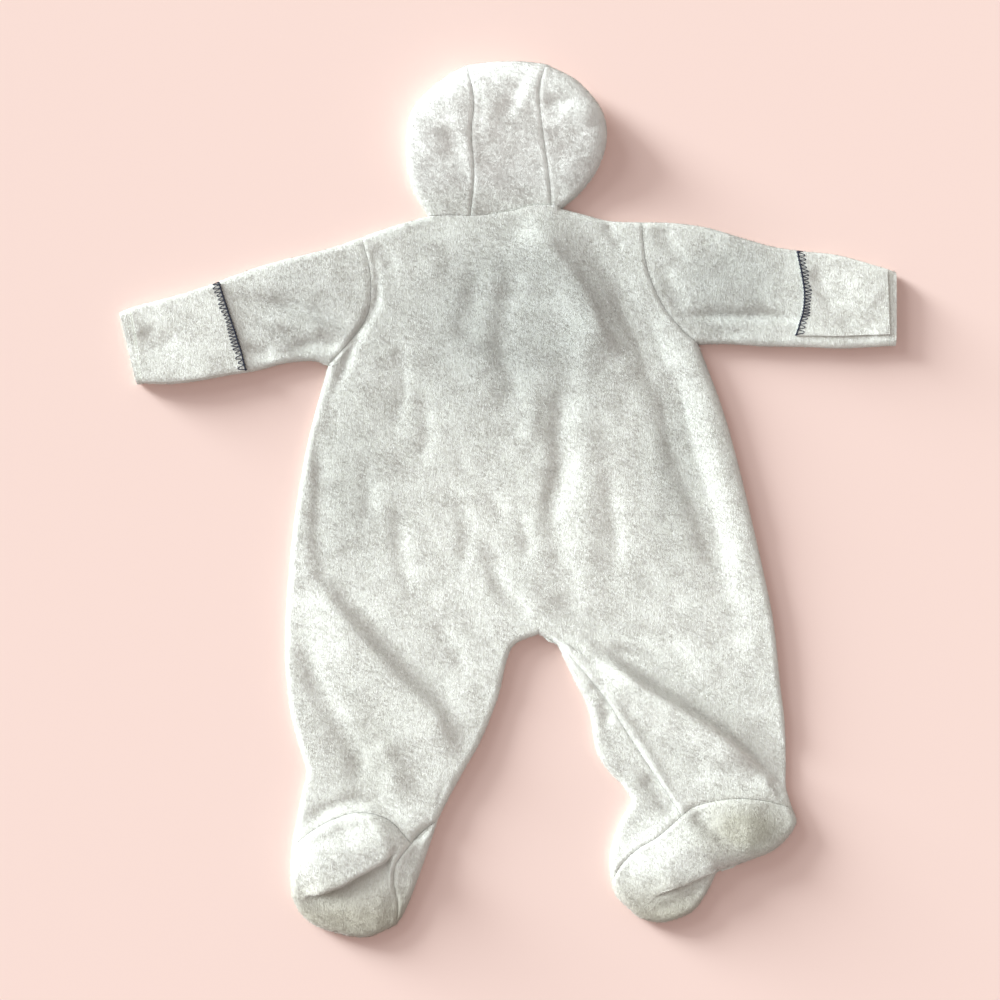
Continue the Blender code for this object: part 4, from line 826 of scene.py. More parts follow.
def add_grid(mesh, points, up, closed):
    """Add rows of points as faces that look up or down; a tube's first half counts."""
    half = points[:, :points.shape[1] // 2] if closed else points
    across = np.diff(half, axis=1)[:-1]
    down = np.diff(half, axis=0)[:, :-1]
    turn = (across[..., 0] * down[..., 1] - across[..., 1] * down[..., 0]).sum()
    if (turn > 0) != up:
        points = points[:, ::-1]
    rows = [[mesh.verts.new(point * MM) for point in row] for row in points]
    for upper, lower in zip(rows, rows[1:]):
        pairs = list(zip(upper, upper[1:], lower[1:], lower))
        if closed:
            pairs.append((upper[-1], upper[0], lower[0], lower[-1]))
        for corners in pairs:
            mesh.faces.new(corners)


def add_object(name, mesh, material):
    data = bpy.data.meshes.new(name)
    mesh.to_mesh(data)
    mesh.free()
    data.materials.append(material)
    data.transform(Matrix.Translation((-MIDDLE_X * MM, 0, 0)))
    data.shade_smooth()
    data.set_sharp_from_angle(angle=SHARP_ANGLE)
    thing = bpy.data.objects.new(name, data)
    bpy.context.scene.collection.objects.link(thing)
    return thing


def inward(vert, wall, level):
    """Step from a point of the outer surface to the wall's inner one.

    Rims on the outline stay level, no wall crosses its own seams, and with level set
    the walls of upper and lower panels keep to their own side of the outline."""
    height = vert.co.z / MM
    step = -vert.normal * wall * MM
    edges = [edge for edge in vert.link_edges if edge.is_boundary]
    if edges and min(abs(height - FRONT_RIM), abs(height - BACK_RIM)) < ON_RIM:
        step.z = 0
    for edge in edges:
        way = edge.verts[1].co - edge.verts[0].co
        out = Vector((way.y, -way.x, 0)).normalized()
        if out.dot(edge.link_faces[0].calc_center_median() - edge.verts[0].co) > 0:
            out = -out
        step -= out * max(step.dot(out), 0)
    if level and height > SEAM_LEVEL + HALF_GAP:
        step.z = max(step.z, (BACK_RIM - height) * MM)
    elif level:
        step.z = min(step.z, (FRONT_RIM - height) * MM)
    step.z = max(step.z, -height * MM)
    return step


def cloth(name, tops, unders, material, wall=WALL, closed=False, level=False):
    """One piece of cloth: outer surfaces joined where they meet, and a wall inside."""
    mesh = bmesh.new()
    for points in tops:
        add_grid(mesh, points, True, closed)
    for points in unders:
        add_grid(mesh, points, False, closed)
    bmesh.ops.remove_doubles(mesh, verts=mesh.verts, dist=MERGE * MM)
    mesh.normal_update()
    steps = {tuple(vert.co): inward(vert, wall, level) for vert in mesh.verts}
    mark = mesh.faces.layers.int.new("outer")
    outer = mesh.faces[:]
    faced = outer[0].normal.copy()
    copy = bmesh.ops.extrude_face_region(mesh, geom=outer, use_keep_orig=True)
    for face in outer:
        face[mark] = 1
    for item in copy["geom"]:
        if isinstance(item, bmesh.types.BMVert):
            item.co += steps[tuple(item.co)]
    bmesh.ops.recalc_face_normals(mesh, faces=mesh.faces)
    if outer[0].normal.dot(faced) < 0:
        bmesh.ops.reverse_faces(mesh, faces=mesh.faces)
    return add_object(name + "_cloth", mesh, material)


def over_shares(line):
    """Shares along an armhole or a cuff on the upper side."""
    return shares(length(line), ARMHOLE_INNER)


def under_shares(line):
    """Shares along an armhole or a cuff on the lower side."""
    return shares(length(line), UNDER_INNER, UNDER_STEPS, UNDER_STEPS)


def torso_side(side, spread, rows):
    """Side edge of the torso: half a seam off the armhole, then the side itself."""
    hole = smooth(columns(ARMHOLES, 1 + side))
    arm = read(moved(hole, -side * HALF_GAP), spread(hole))
    arm[-1] = SIDES[0][1 + side:3 + side]
    return joined(arm, even(smooth(columns(SIDES, 1 + side)), rows))


def neck_runs():
    """Points along the neck seam for the left, middle and right of the hood."""
    return (read(smooth(NECK_LEFT), 1 - finer(HOOD_SIDE_COLUMNS)[::-1]),
            even(smooth(NECK_MIDDLE), HOOD_STRIP_COLUMNS),
            read(smooth(NECK_RIGHT), finer(HOOD_SIDE_COLUMNS)))


def hip_shares(line, crotch_last, inner=LEG_INNER):
    if crotch_last:
        return shares(length(line), inner, EDGE_STEPS, CROTCH_STEPS)
    return shares(length(line), inner, CROTCH_STEPS, EDGE_STEPS)


def make_back(material):
    """Back: two halves of the torso and two legs, joined along the centre and hips."""
    left = torso_side(-1, over_shares, SIDE_ROWS)
    right = torso_side(1, over_shares, SIDE_ROWS)
    neck_left, neck_middle, neck_right = (moved(run, -HALF_GAP) for run in neck_runs())
    split = HOOD_STRIP_COLUMNS // 2 * FINE
    shoulder_left = even(smooth(LEFT_SHOULDER), SHOULDER_COLUMNS)
    shoulder_right = even(smooth(RIGHT_SHOULDER), len_right_shoulder())
    shoulder_left[-1] = neck_left[0]
    top_left = joined(shoulder_left, neck_left, neck_middle[:split + 1])
    top_right = joined(neck_middle[split:], neck_right, shoulder_right)
    top_left[0] = left[0]
    top_right[-1] = right[0]
    hip_left = read(smooth(HIP_LEFT), hip_shares(smooth(HIP_LEFT), True))
    hip_right = read(smooth(HIP_RIGHT), hip_shares(smooth(HIP_RIGHT), False))
    middle = read(joined(top_left[-1:], smooth(CENTRE_BACK)[1:]), run_shares(left))
    heel_left = moved(left_heel_run(), HALF_GAP)
    crease = moved(left_crease_run(), HALF_GAP)
    outer_left = even(smooth(columns(LEFT_LEG, 0)), LEG_ROWS)
    outer_left[-1, 1] += HALF_GAP
    heel_left[0] = outer_left[-1]
    crease[-1] = LEFT_TURNED_SEAM[0]
    crease[0] = heel_left[-1]
    heel_right = moved(right_heel_run(), HALF_GAP)
    inseam = moved(even(smooth(RIGHT_INSEAM), INSEAM_ROWS), HALF_GAP)
    inseam[0] = RIGHT_INSEAM[0]
    outer_right = even(smooth(columns(RIGHT_LEG, 0)), INSEAM_ROWS + 1)
    outer_right[-1, 1] += HALF_GAP
    heel_right[0] = inseam[-1]
    heel_right[-1] = outer_right[-1]
    flat = (
        coons(left, middle, top_left, hip_left),
        coons(middle, right, top_right, hip_right),
        coons(outer_left, even(smooth(columns(LEFT_LEG, 2)), LEG_ROWS),
              hip_left, joined(heel_left, crease)),
        coons(joined(even(points(HIP_RIGHT[0], RIGHT_INSEAM[0]), 2), inseam), outer_right,
              hip_right, heel_right),
    )
    cloth("back", [raised(patch, body_top(patch)) for patch in flat], (), material,
          level=True)


def len_right_shoulder():
    """Columns left for the right shoulder, so that both ends of that half match."""
    return HIP_COLUMNS - HOOD_STRIP_COLUMNS // 2 - (len(HOOD_SIDE_COLUMNS) - 1)


def left_heel_run():
    line = smooth(LEFT_HEEL_SEAM)
    inner = HIP_COLUMNS - CREASE_ROWS - 2 - len(EDGE_STEPS)
    return read(line, shares(length(line), inner, EDGE_STEPS, ()))


def left_crease_run():
    return even(smooth(LEFT_TURNED_SEAM[:3]), CREASE_ROWS + 1)[::-1]


def right_heel_run():
    line = smooth(RIGHT_HEEL_SEAM)
    return read(line, shares(length(line), LEG_INNER, CROTCH_STEPS, EDGE_STEPS))


def front_edge(side, rows):
    """Centre edge of a front: clear of the zip, and closing below its end."""
    centre = read(smooth(CENTRE_LINE), rows)
    centre[0, 1] -= HALF_GAP
    closing = ease((centre[:, 1] - ZIP_END) / ZIP_CLOSE)
    offset = HALF_GAP + (ZIP_GAP - HALF_GAP) * closing
    return centre + np.stack((side * offset, np.zeros(len(centre))), -1)


def turned_edge(outline, seam):
    """Strip of a front that is turned up over its edge, from that edge to the seam."""
    across = finer(TURN_COLUMNS)[None, :, None]
    patch = outline[:, None] * (1 - across) + seam[:, None] * across
    heights = body_top(patch)
    heights[:, 0] = FRONT_RIM
    strip = raised(patch, heights)
    strip[0] = strip[0, 0]
    strip[-1] = strip[-1, 0]
    return strip


def front_torso(side, shoulder, front_neck, hip):
    """Torso of one front, from its side to the centre, or the other way about."""
    edge = torso_side(side, under_shares, FRONT_SIDE_ROWS)
    centre = front_edge(side, run_shares(edge))
    neck = read(smooth(front_neck), finer(HEM_COLUMNS) if side < 0 else hem_back())
    neck = moved(neck, -HALF_GAP)
    shoulder = even(smooth(shoulder), FRONT_SHOULDER_COLUMNS)
    if side < 0:
        neck[-1] = centre[0]
        top = joined(shoulder, neck)
        top[0] = edge[0]
        hip[-1] = centre[-1]
        return coons(edge, centre, top, hip)
    neck[0] = centre[0]
    top = joined(neck, shoulder)
    top[-1] = edge[0]
    hip[0] = centre[-1]
    return coons(centre, edge, top, hip)


def hem_back():
    return 1 - finer(HEM_COLUMNS)[::-1]


def front_hip(line, crotch_last):
    inner = FRONT_SHOULDER_COLUMNS + len(HEM_COLUMNS) - 1
    first, last = (UNDER_STEPS, CROTCH_STEPS) if crotch_last else (CROTCH_STEPS, UNDER_STEPS)
    inner -= len(UNDER_STEPS) + len(CROTCH_STEPS) + 2
    return read(line, shares(length(line), inner, first, last))


def make_front_left(material):
    hip = front_hip(smooth(HIP_LEFT), True)
    torso = front_torso(-1, LEFT_SHOULDER, FRONT_NECK_LEFT, hip)
    line = smooth(LEFT_FOOT_INNER)
    inner = even(smooth(columns(LEFT_LEG, 2)), FRONT_LEG_ROWS)
    inner[0] = hip[-1]
    seam = joined(moved(left_crease_run()[::-1], HALF_GAP),
                  moved(left_sole_run(), HALF_GAP))
    foot = read(line, run_shares(seam))
    foot_outer = like(smooth(LEFT_FOOT_OUTER), foot)
    leg = coons(joined(even(smooth(columns(LEFT_LEG, 0)), FRONT_LEG_ROWS), foot_outer),
                joined(inner, foot), hip, like(smooth(LEFT_TOE), hip))
    strip = turned_edge(foot, seam)
    grids = [raised(patch, body_under(patch)) for patch in (torso, leg)]
    cloth("front_left", [strip], grids, material, level=True)


def left_sole_run():
    return read(smooth(LEFT_SOLE_SEAM), lip_shares(LEFT_LIP[-1][1]))


def make_front_right(material):
    hip = front_hip(smooth(HIP_RIGHT), False)
    torso = front_torso(1, RIGHT_SHOULDER, FRONT_NECK_RIGHT, hip)
    leg_line = smooth(columns(RIGHT_LEG, 2))
    start = length(smooth(columns(RIGHT_LEG[:2], 2))) / length(leg_line)
    turned = read(leg_line, finer(np.linspace(start, 1, INSEAM_ROWS)))
    foot = even(smooth(RIGHT_FOOT_INNER), SOLE_SEAM_ROWS)
    inner = joined(even(np.vstack((hip[0], turned[0])), 2), turned, foot,
                   even(smooth(RIGHT_TOE_SIDE), 3))
    outer_leg = even(smooth(columns(RIGHT_LEG, 0)), INSEAM_ROWS + 1)
    toe = smooth(RIGHT_TOE)
    outer_foot = even(joined(smooth(RIGHT_HEEL_EDGE), toe[:TOE_CORNER - 1:-1]),
                      SOLE_SEAM_ROWS + 2)
    leg = coons(inner, joined(outer_leg, outer_foot), hip,
                like(toe[:TOE_CORNER + 1], hip))
    seam = joined(even(smooth(RIGHT_INSEAM), INSEAM_ROWS),
                  even(smooth(RIGHT_SOLE_SEAM[::-1]), SOLE_SEAM_ROWS))
    strip = turned_edge(joined(turned, foot), moved(seam, -HALF_GAP))
    grids = [raised(patch, body_under(patch)) for patch in (torso, leg)]
    cloth("front_right", [strip], grids, material, level=True)


def tube(lower, upper, starts, ends):
    """Flattened tube: over the top from its upper edge to its lower one, and back."""
    top = coons(lower, upper, starts[0], ends[0])
    bottom = coons(lower, upper, starts[1], ends[1])[:, ::-1][:, 1:-1]
    heights = body_top(top)
    heights[:, (0, -1)] = FRONT_RIM
    return np.concatenate((raised(top, heights), raised(bottom, body_under(bottom))), 1)


def sleeve_lines(table, mitt_edge):
    """Edges of a sleeve, split where the mitten's free edge crosses them."""
    parts = []
    for first, pick in ((2, 0), (0, -1)):
        line = smooth(columns(table, first))
        split = int(np.linalg.norm(line - mitt_edge[pick], axis=1).argmin())
        parts.append((line[:split + 1], line[split:]))
    return parts


def make_sleeve(name, side, table, cuff, mitt_edge, bare, material):
    """Sleeve from the armhole to the cuff, its hem band, and the mitten that lies on it,
    which is made from the sleeve's own points moved out."""
    (low_arm, low_wrist), (high_arm, high_wrist) = sleeve_lines(table, mitt_edge)
    hole = moved(smooth(columns(ARMHOLES, 1 + side)), side * HALF_GAP)[::-1]
    wrist = points(table[-1][2:], table[-1][:2])
    edge = smooth((low_wrist[0], *mitt_edge[1:-1], high_wrist[0]))
    along = points(np.array(cuff[-1][2:]) - cuff[0][2:], np.array(cuff[-1][:2]) - cuff[0][:2])
    along /= np.linalg.norm(along, axis=1)[:, None]
    sleeve_end = wrist - along * HALF_GAP
    cuff_start = wrist + along * HALF_GAP
    cuff_end = points(cuff[-1][2:], cuff[-1][:2])
    spreads = (over_shares, under_shares)
    holes = [read(hole, spread(hole)) for spread in spreads]
    edges = [read(edge, spread(edge)) for spread in spreads]
    ends, starts, stops = ([read(line, spread(line)) for spread in spreads]
                           for line in (sleeve_end, cuff_start, cuff_end))
    low_wrist[-1], high_wrist[-1] = sleeve_end
    low_arm[0], high_arm[0] = hole[0], hole[-1]
    arm = tube(even(low_arm, UPPER_ARM_ROWS), even(high_arm, UPPER_ARM_ROWS), holes, edges)
    forearm = tube(even(low_wrist, FOREARM_ROWS), even(high_wrist, FOREARM_ROWS),
                   edges, ends)
    cloth("sleeve_" + name, [arm, forearm], (), material, closed=True)
    band = tube(even(points(cuff_start[0], cuff_end[0]), 3),
                even(points(cuff_start[1], cuff_end[1]), 3), starts, stops)
    cloth("cuff_" + name, [band], (), material, closed=True)
    covered = forearm[:, bare * FINE:len(holes[0]) - MITT_BARE_ABOVE * FINE]
    lid = covered + (MITT_LIFT + MITT_WALL) * facing(covered)
    cloth("mitt_" + name, [lid], (), material, MITT_WALL)
    return lid, band


def facing(surface):
    """Upward unit normals of a surface given by rows of points."""
    down = np.gradient(surface, axis=0)
    across = np.gradient(surface, axis=1)
    out = np.cross(down, across)
    out /= np.linalg.norm(out, axis=-1)[..., None]
    return out * np.sign(out[..., 2:])


def hood_rows():
    line = smooth(HOOD_SEAM_LEFT)
    return shares(length(line), HOOD_INNER, (), EDGE_STEPS)


def make_hood_centre(material):
    rows = hood_rows()
    left = read(moved(smooth(HOOD_SEAM_LEFT), -HALF_GAP), rows)
    right = read(moved(smooth(HOOD_SEAM_RIGHT), HALF_GAP), rows)
    neck = moved(neck_runs()[1], HALF_GAP)
    neck[0] = left[0]
    neck[-1] = right[0]
    crown = even(smooth(HOOD_CROWN), HOOD_STRIP_COLUMNS)
    crown[0] = left[-1]
    crown[-1] = right[-1]
    top = coons(left, right, neck, crown)
    hem = even(smooth(HEM_CROWN), HOOD_STRIP_COLUMNS)
    hem[0, 0] += HALF_GAP
    hem[-1, 0] -= HALF_GAP
    under = coons(read(np.vstack((crown[0], hem[0])), finer(HEM_COLUMNS)),
                  read(np.vstack((crown[-1], hem[-1])), finer(HEM_COLUMNS)), crown, hem)
    top = raised(top, hood_top(top))
    under = raised(under, hood_under(under))
    top[-1, :, 2] = hood_rim(top[-1, :, :2])
    under[0] = top[-1]
    cloth("hood_centre", [top], [under], material)


def make_hood_side(side, outline, seam, neck, front_neck, hem, material):
    """Side of the hood: over the top from the seam to the outline, then underneath to
    the face opening. Its rows run from the neck to the crown, where they meet."""
    rows = hood_rows()
    seam = read(moved(smooth(seam), -side * HALF_GAP), rows)
    crown = seam[-1]
    edge = read(smooth(outline), rows)
    edge[-1] = crown
    neck = moved(neck, HALF_GAP)
    if side < 0:
        neck = neck[::-1]
    neck[0] = seam[0]
    edge[0] = neck[-1]
    top = coons(seam, edge, neck, np.tile(crown, (len(neck), 1)))
    hem = read(smooth(hem), rows)
    hem[:, 0] += side * HALF_GAP
    hem[0] += (side * (ZIP_GAP - HALF_GAP), HALF_GAP)
    front = read(smooth(front_neck), finer(HEM_COLUMNS) if side < 0 else hem_back())
    front = moved(front, HALF_GAP)
    if side > 0:
        front = front[::-1]
    front[0] = edge[0]
    front[-1] = hem[0]
    under = coons(edge, hem, front, read(np.vstack((crown, hem[-1])), finer(HEM_COLUMNS)))
    top = raised(top, hood_top(top))
    under = raised(under, hood_under(under))
    top[:, -1, 2] = hood_rim(top[:, -1, :2])
    top[-1] = top[-1, -1]
    under[:, 0] = top[:, -1]
    cloth("hood_left" if side < 0 else "hood_right", [top], [under], material)


def lip_parts():
    """Shares before a sole's lip, the lip's own profile, and shares after it."""
    return (finer((*BEFORE_LIP, 1))[:-1], smooth(LIP_PROFILE, FINE),
            finer((0, *AFTER_LIP))[1:])


def lip_shares(place):
    """Shares of the points across a sole, close together round its lip."""
    near = min(LIP_SPREAD, LIP_SPREAD_MOST * place, LIP_SPREAD_MOST * (1 - place))
    before, profile, after = lip_parts()
    return np.concatenate((before * (place - near),
                           np.linspace(place - near, place + near, len(profile)),
                           place + near + after * (1 - place - near)))


def make_sole(name, seam, edge, left, right, lip, material):
    """Sole: from the seam over the fold's lip, back under it and out to the outline."""
    before, profile, after = lip_parts()
    before = before[:, None]
    after = after[:, None]
    patch = coons(like(left, left), like(right, right), seam, edge,
                  np.linspace(0, 1, len(left)))
    rows = []
    for share, column in zip(run_shares(seam), patch.transpose(1, 0, 2)):
        place, amount = (np.interp(share, lip[:, 0], lip[:, k]) for k in (1, 2))
        flat = read(column, lip_shares(place))
        if share in (0, 1):
            flat = right if share else left
        way = flat[-1] - flat[0]
        nose = flat[0] + place * way
        way = way / max(np.linalg.norm(way), 1e-6)
        start = nose + LIP_START * way
        stop = nose + LIP_END * way
        folded = np.vstack((flat[0] + before * (start - flat[0]),
                            nose + profile[:, :1] * way,
                            stop + after * (flat[-1] - stop)))
        tall = heel_top(start[None])[0]
        low = toe_top(stop[None])[0]
        heights = np.concatenate((heel_top(folded[:len(before)]),
                                  low + profile[:, 1] * (tall - low),
                                  toe_top(folded[-len(after):])))
        amount *= ease((tall - low) / SOLE_DROP)
        mixed = flat + amount * (folded - flat)
        levels = (1 - amount) * body_top(mixed) + amount * heights
        rows.append(raised(mixed, levels))
    rows = np.array(rows)
    rows[:, -1, 2] = BACK_RIM
    for row in (rows[0], rows[-1]):
        if np.ptp(row[:, :2], axis=0).max() < 1.0:
            row[:] = row[-1]
    cloth(name, [rows], (), material, SOLE_WALL, level=True)


def make_left_sole(material):
    seam = moved(left_heel_run(), -HALF_GAP)
    left = read(smooth(LEFT_FOOT_OUTER), lip_shares(LEFT_LIP[0][1]))
    left[0, 1] -= HALF_GAP
    seam[0] = left[0]
    right = moved(left_sole_run(), -HALF_GAP)
    right[-1] = LEFT_SOLE_SEAM[-1]
    right[0] = seam[-1]
    edge = read(smooth(LEFT_TOE), run_shares(seam))
    make_sole("sole_left", seam, edge, left, right, np.array(LEFT_LIP), material)


def make_right_sole(material):
    sole = even(smooth(RIGHT_SOLE_SEAM), SOLE_SEAM_ROWS)
    seam = moved(joined(sole, right_heel_run()), -HALF_GAP)
    seam[0] = RIGHT_SOLE_SEAM[0]
    seam[-1] = points(RIGHT_HEEL_SEAM[-1])[0] - (0, HALF_GAP)
    edge = chain(RIGHT_TOE_SIDE, RIGHT_TOE, RIGHT_HEEL_EDGE[::-1])
    edge = read(edge, run_shares(seam))
    edge[-1] = seam[-1]
    count = len(lip_shares(0))
    make_sole("sole_right", seam, edge, np.tile(seam[0], (count, 1)),
              np.tile(seam[-1], (count, 1)), np.array(RIGHT_LIP), material)


def make_solid(name, verts, faces, material):
    """A mesh from points in millimetres and faces."""
    data = bpy.data.meshes.new(name)
    verts = np.asarray(verts, float) - (MIDDLE_X, 0, 0)
    data.from_pydata((verts * MM).tolist(), [], [list(face) for face in faces])
    data.materials.append(material)
    data.shade_smooth()
    thing = bpy.data.objects.new(name, data)
    bpy.context.scene.collection.objects.link(thing)
    return thing


def ring_faces(rings, count):
    """Faces between each ring of points and the next."""
    return [(row * count + i, row * count + (i + 1) % count,
             (row + 1) * count + (i + 1) % count, (row + 1) * count + i)
            for row in range(rings - 1) for i in range(count)]


def tube_mesh(path, radius, sides=6):
    """Points and faces of a closed tube along a path."""
    path = np.asarray(path, float)
    way = np.gradient(path, axis=0)
    way /= np.maximum(np.linalg.norm(way, axis=1), 1e-9)[:, None]
    side = np.cross(way, (0.05, 0.08, 1.0))
    side /= np.maximum(np.linalg.norm(side, axis=1), 1e-9)[:, None]
    over = np.cross(side, way)
    turn = np.arange(sides) / sides * 2 * np.pi
    ring = np.cos(turn)[:, None] * side[:, None] + np.sin(turn)[:, None] * over[:, None]
    verts = (path[:, None] + radius * ring).reshape(-1, 3)
    caps = [tuple(reversed(range(sides))), tuple(range(len(verts) - sides, len(verts)))]
    return verts, ring_faces(len(path), sides) + caps


def run_along(line):
    """Distance along a line in space at each of its points."""
    steps = np.linalg.norm(np.diff(line, axis=0), axis=1)
    return np.concatenate(([0], np.cumsum(steps)))


class Lid:
    """The mitten's upper surface, read by share along its free edge and distance in."""

    def __init__(self, grid):
        self.grid = grid
        self.run = run_along(grid[0])
        self.total = self.run[-1]
        down = np.linalg.norm(np.diff(grid, axis=0), axis=2)
        self.down = np.vstack((np.zeros(grid.shape[1]), np.cumsum(down, axis=0)))
        self.up = facing(grid)

    def at(self, share, inside, above=0.0):
        """Point at a share along the edge, some way in from it and above the cloth."""
        column = np.interp(share * self.total, self.run, np.arange(len(self.run)))
        left = int(min(column, len(self.run) - 2))
        blend = column - left
        ends = []
        for k in (left, left + 1):
            row = np.interp(max(inside, 0), self.down[:, k], np.arange(len(self.down)))
            top = int(min(row, len(self.down) - 2))
            part = row - top
            ends.append([(1 - part) * field[top, k] + part * field[top + 1, k]
                         for field in (self.grid, self.up)])
        point, up = ((1 - blend) * a + blend * b for a, b in zip(*ends))
        if inside < 0:
            way = self.grid[0, left] - self.grid[1, left]
            point = point + way / np.linalg.norm(way) * -inside
        return point + up * above


def overlock(lid, pitches):
    """Paths of the thread over a raw edge: zigzag with loops, and two twisted strands."""
    pitches = np.array(pitches)
    shares = [STITCH_FIRST]
    while shares[-1] < STITCH_LAST:
        pitch = np.interp(shares[-1], pitches[:, 0], pitches[:, 1])
        shares.append(shares[-1] + pitch / lid.total)
    zigzag = []
    for here, after in zip(shares, shares[1:]):
        step = after - here
        reach = STITCH_REACH * (REACH_MEAN + REACH_SWING * math.sin(here * REACH_TURNS))
        zigzag += [lid.at(here + along * step, inside + part * reach, above)
                   for along, inside, part, above in STITCH_PATH]
    paths = [smooth_path(zigzag, 3)]
    for start in (0, math.pi):
        strand = []
        for share in np.linspace(0, 1, int(lid.total * ROPE_STEPS)):
            turn = start + share * lid.total / ROPE_PITCH * 2 * math.pi
            strand.append(lid.at(share, ROPE_AWAY + ROPE_SWING * math.sin(turn),
                                 ROPE_AWAY + ROPE_SWING * math.cos(turn)))
        paths.append(np.array(strand))
    return paths


def smooth_path(points, steps):
    """A smooth line through points in space."""
    points = np.array(points, float)
    flat = smooth(points[:, :2], steps)
    tall = smooth(np.stack((points[:, 2], points[:, 2]), -1), steps)
    return np.column_stack((flat, tall[:, 0]))


def sewn_line(line, up):
    """Short stitches along a line in space, each bowed a little out of the cloth."""
    run = run_along(line)
    shares, heights = np.array(SEWN_PATH).T
    paths = []
    start = SEWN_GAP
    while start + SEWN_LENGTH < run[-1]:
        at = start + SEWN_LENGTH * shares
        path, rise = (np.stack([np.interp(at, run, field[:, k]) for k in range(3)], -1)
                      for field in (line, up))
        paths.append(path + rise * heights[:, None])
        start += SEWN_LENGTH + SEWN_GAP
    return paths


def cuff_stitching(name, band, material):
    """Two rows of stitches round a hem band."""
    up = surface_normals(band)
    paths = []
    for inside in CUFF_ROWS:
        row = inside / CUFF_WIDTH * (len(band) - 1)
        low = int(row)
        part = row - low
        line = (1 - part) * band[low] + part * band[low + 1]
        rise = (1 - part) * up[low] + part * up[low + 1]
        paths += sewn_line(line, rise)
    threads = [tube_mesh(path, SEWN_RADIUS) for path in paths]
    return make_parts(name, threads, material, flat=False)


def surface_normals(tube):
    """Outward normals of a tube given by rows of points round it."""
    wrapped = np.concatenate((tube[:, -1:], tube, tube[:, :1]), 1)
    across = (wrapped[:, 2:] - wrapped[:, :-2])
    down = np.gradient(tube, axis=0)
    out = np.cross(down, across)
    out /= np.maximum(np.linalg.norm(out, axis=-1), 1e-9)[..., None]
    middle = tube.mean(axis=(0, 1))
    if ((tube - middle) * out).sum() < 0:
        out = -out
    return out


def outer_triangles(thing):
    """Corners and normals of the triangles of a shell's outer side."""
    data = thing.data
    data.calc_loop_triangles()
    corners = np.empty(len(data.loop_triangles) * 3, int)
    data.loop_triangles.foreach_get("vertices", corners)
    owners = np.empty(len(data.loop_triangles), int)
    data.loop_triangles.foreach_get("polygon_index", owners)
    places = np.empty(len(data.vertices) * 3)
    data.vertices.foreach_get("co", places)
    normals = np.empty(len(data.vertices) * 3)
    data.vertices.foreach_get("normal", normals)
    outer = np.empty(len(data.polygons), int)
    data.attributes["outer"].data.foreach_get("value", outer)
    corners = corners.reshape(-1, 3)[outer[owners] == 1]
    return places.reshape(-1, 3)[corners] / MM, normals.reshape(-1, 3)[corners]


def hairs(things, count, band, random):
    """Roots and normals spread evenly over the upper sides of some shells."""
    parts = [outer_triangles(thing) for thing in things]
    places = np.vstack([part[0] for part in parts])
    normals = np.vstack([part[1] for part in parts])
    middle = places.mean(1)
    area = np.linalg.norm(np.cross(places[:, 1] - places[:, 0],
                                   places[:, 2] - places[:, 0]), axis=1)
    wanted = (normals[:, :, 2].mean(1) > LEAST_UPWARD) & (middle[:, 2] > UNDER_LEVEL)
    if band:
        wanted &= (middle[:, 1] > band[0] / MM) & (middle[:, 1] <= band[1] / MM)
    total = np.cumsum(area * wanted)
    picks = (np.arange(count) + random.random(count)) / count * total[-1]
    pick = np.minimum(np.searchsorted(total, picks), len(total) - 1)
    u, v = random.random((2, count))
    flip = u + v > 1
    u, v = np.where(flip, 1 - u, u), np.where(flip, 1 - v, v)
    shares = np.stack((1 - u - v, u, v), -1)[:, :, None]
    roots = (places[pick] * shares).sum(1)
    out = (normals[pick] * shares).sum(1)
    return roots, out / np.linalg.norm(out, axis=1)[:, None]


def make_pile(name, things, count, band, seed, material):
    """Pile of one face per hair: neighbouring hairs lean the same way, in tufts."""
    random = np.random.default_rng(seed)
    roots, up = hairs(things, count, band, random)
    plan = roots[:, :2]
    turn = (HAIR_WAY + TURN_WIDE * noise(plan, WIDE_TUFT, 11)
            + TURN_TUFT * noise(plan, TUFT_SIZE, 12))
    turn += random.normal(0, TURN_OWN, count)
    way = np.stack((np.cos(turn), np.sin(turn), np.zeros(count)), -1)
    way -= (way * up).sum(1)[:, None] * up
    way /= np.maximum(np.linalg.norm(way, axis=1), 1e-6)[:, None]
    lean = random.uniform(*HAIR_LEAN, count) + LEAN_TUFT * noise(plan, TUFT_SIZE, 13)
    long = random.uniform(*HAIR_LENGTH, count)
    long *= 1 + LENGTH_TUFT * noise(plan, TUFT_SIZE, 14)
    tips = roots + long[:, None] * (np.cos(lean)[:, None] * up + np.sin(lean)[:, None] * way)
    side = np.cross(up, way) * random.uniform(*HAIR_WIDTH, count)[:, None]
    corners = np.stack((roots + side, roots - side, tips), 1).reshape(-1, 3) * MM
    shading = up + HAIR_SHADE * way
    shading /= np.linalg.norm(shading, axis=1)[:, None]
    return pile_mesh(name, corners, np.repeat(shading, 3, axis=0), material)


def pile_mesh(name, corners, shading, material):
    data = bpy.data.meshes.new(name)
    count = len(corners) // 3
    data.vertices.add(len(corners))
    data.vertices.foreach_set("co", corners.ravel())
    data.loops.add(len(corners))
    data.loops.foreach_set("vertex_index", np.arange(len(corners), dtype=np.int32))
    data.polygons.add(count)
    data.polygons.foreach_set("loop_start", np.arange(count, dtype=np.int32) * 3)
    data.update(calc_edges=True)
    data.shade_smooth()
    data.normals_split_custom_set_from_vertices(shading)
    data.materials.append(material)
    thing = bpy.data.objects.new(name, data)
    bpy.context.scene.collection.objects.link(thing)
    return thing


def node_material(name):
    """A material, its nodes and its shader."""
    material = bpy.data.materials.new(name)
    material.use_nodes = True
    tree = material.node_tree
    return material, tree, tree.nodes["Principled BSDF"]


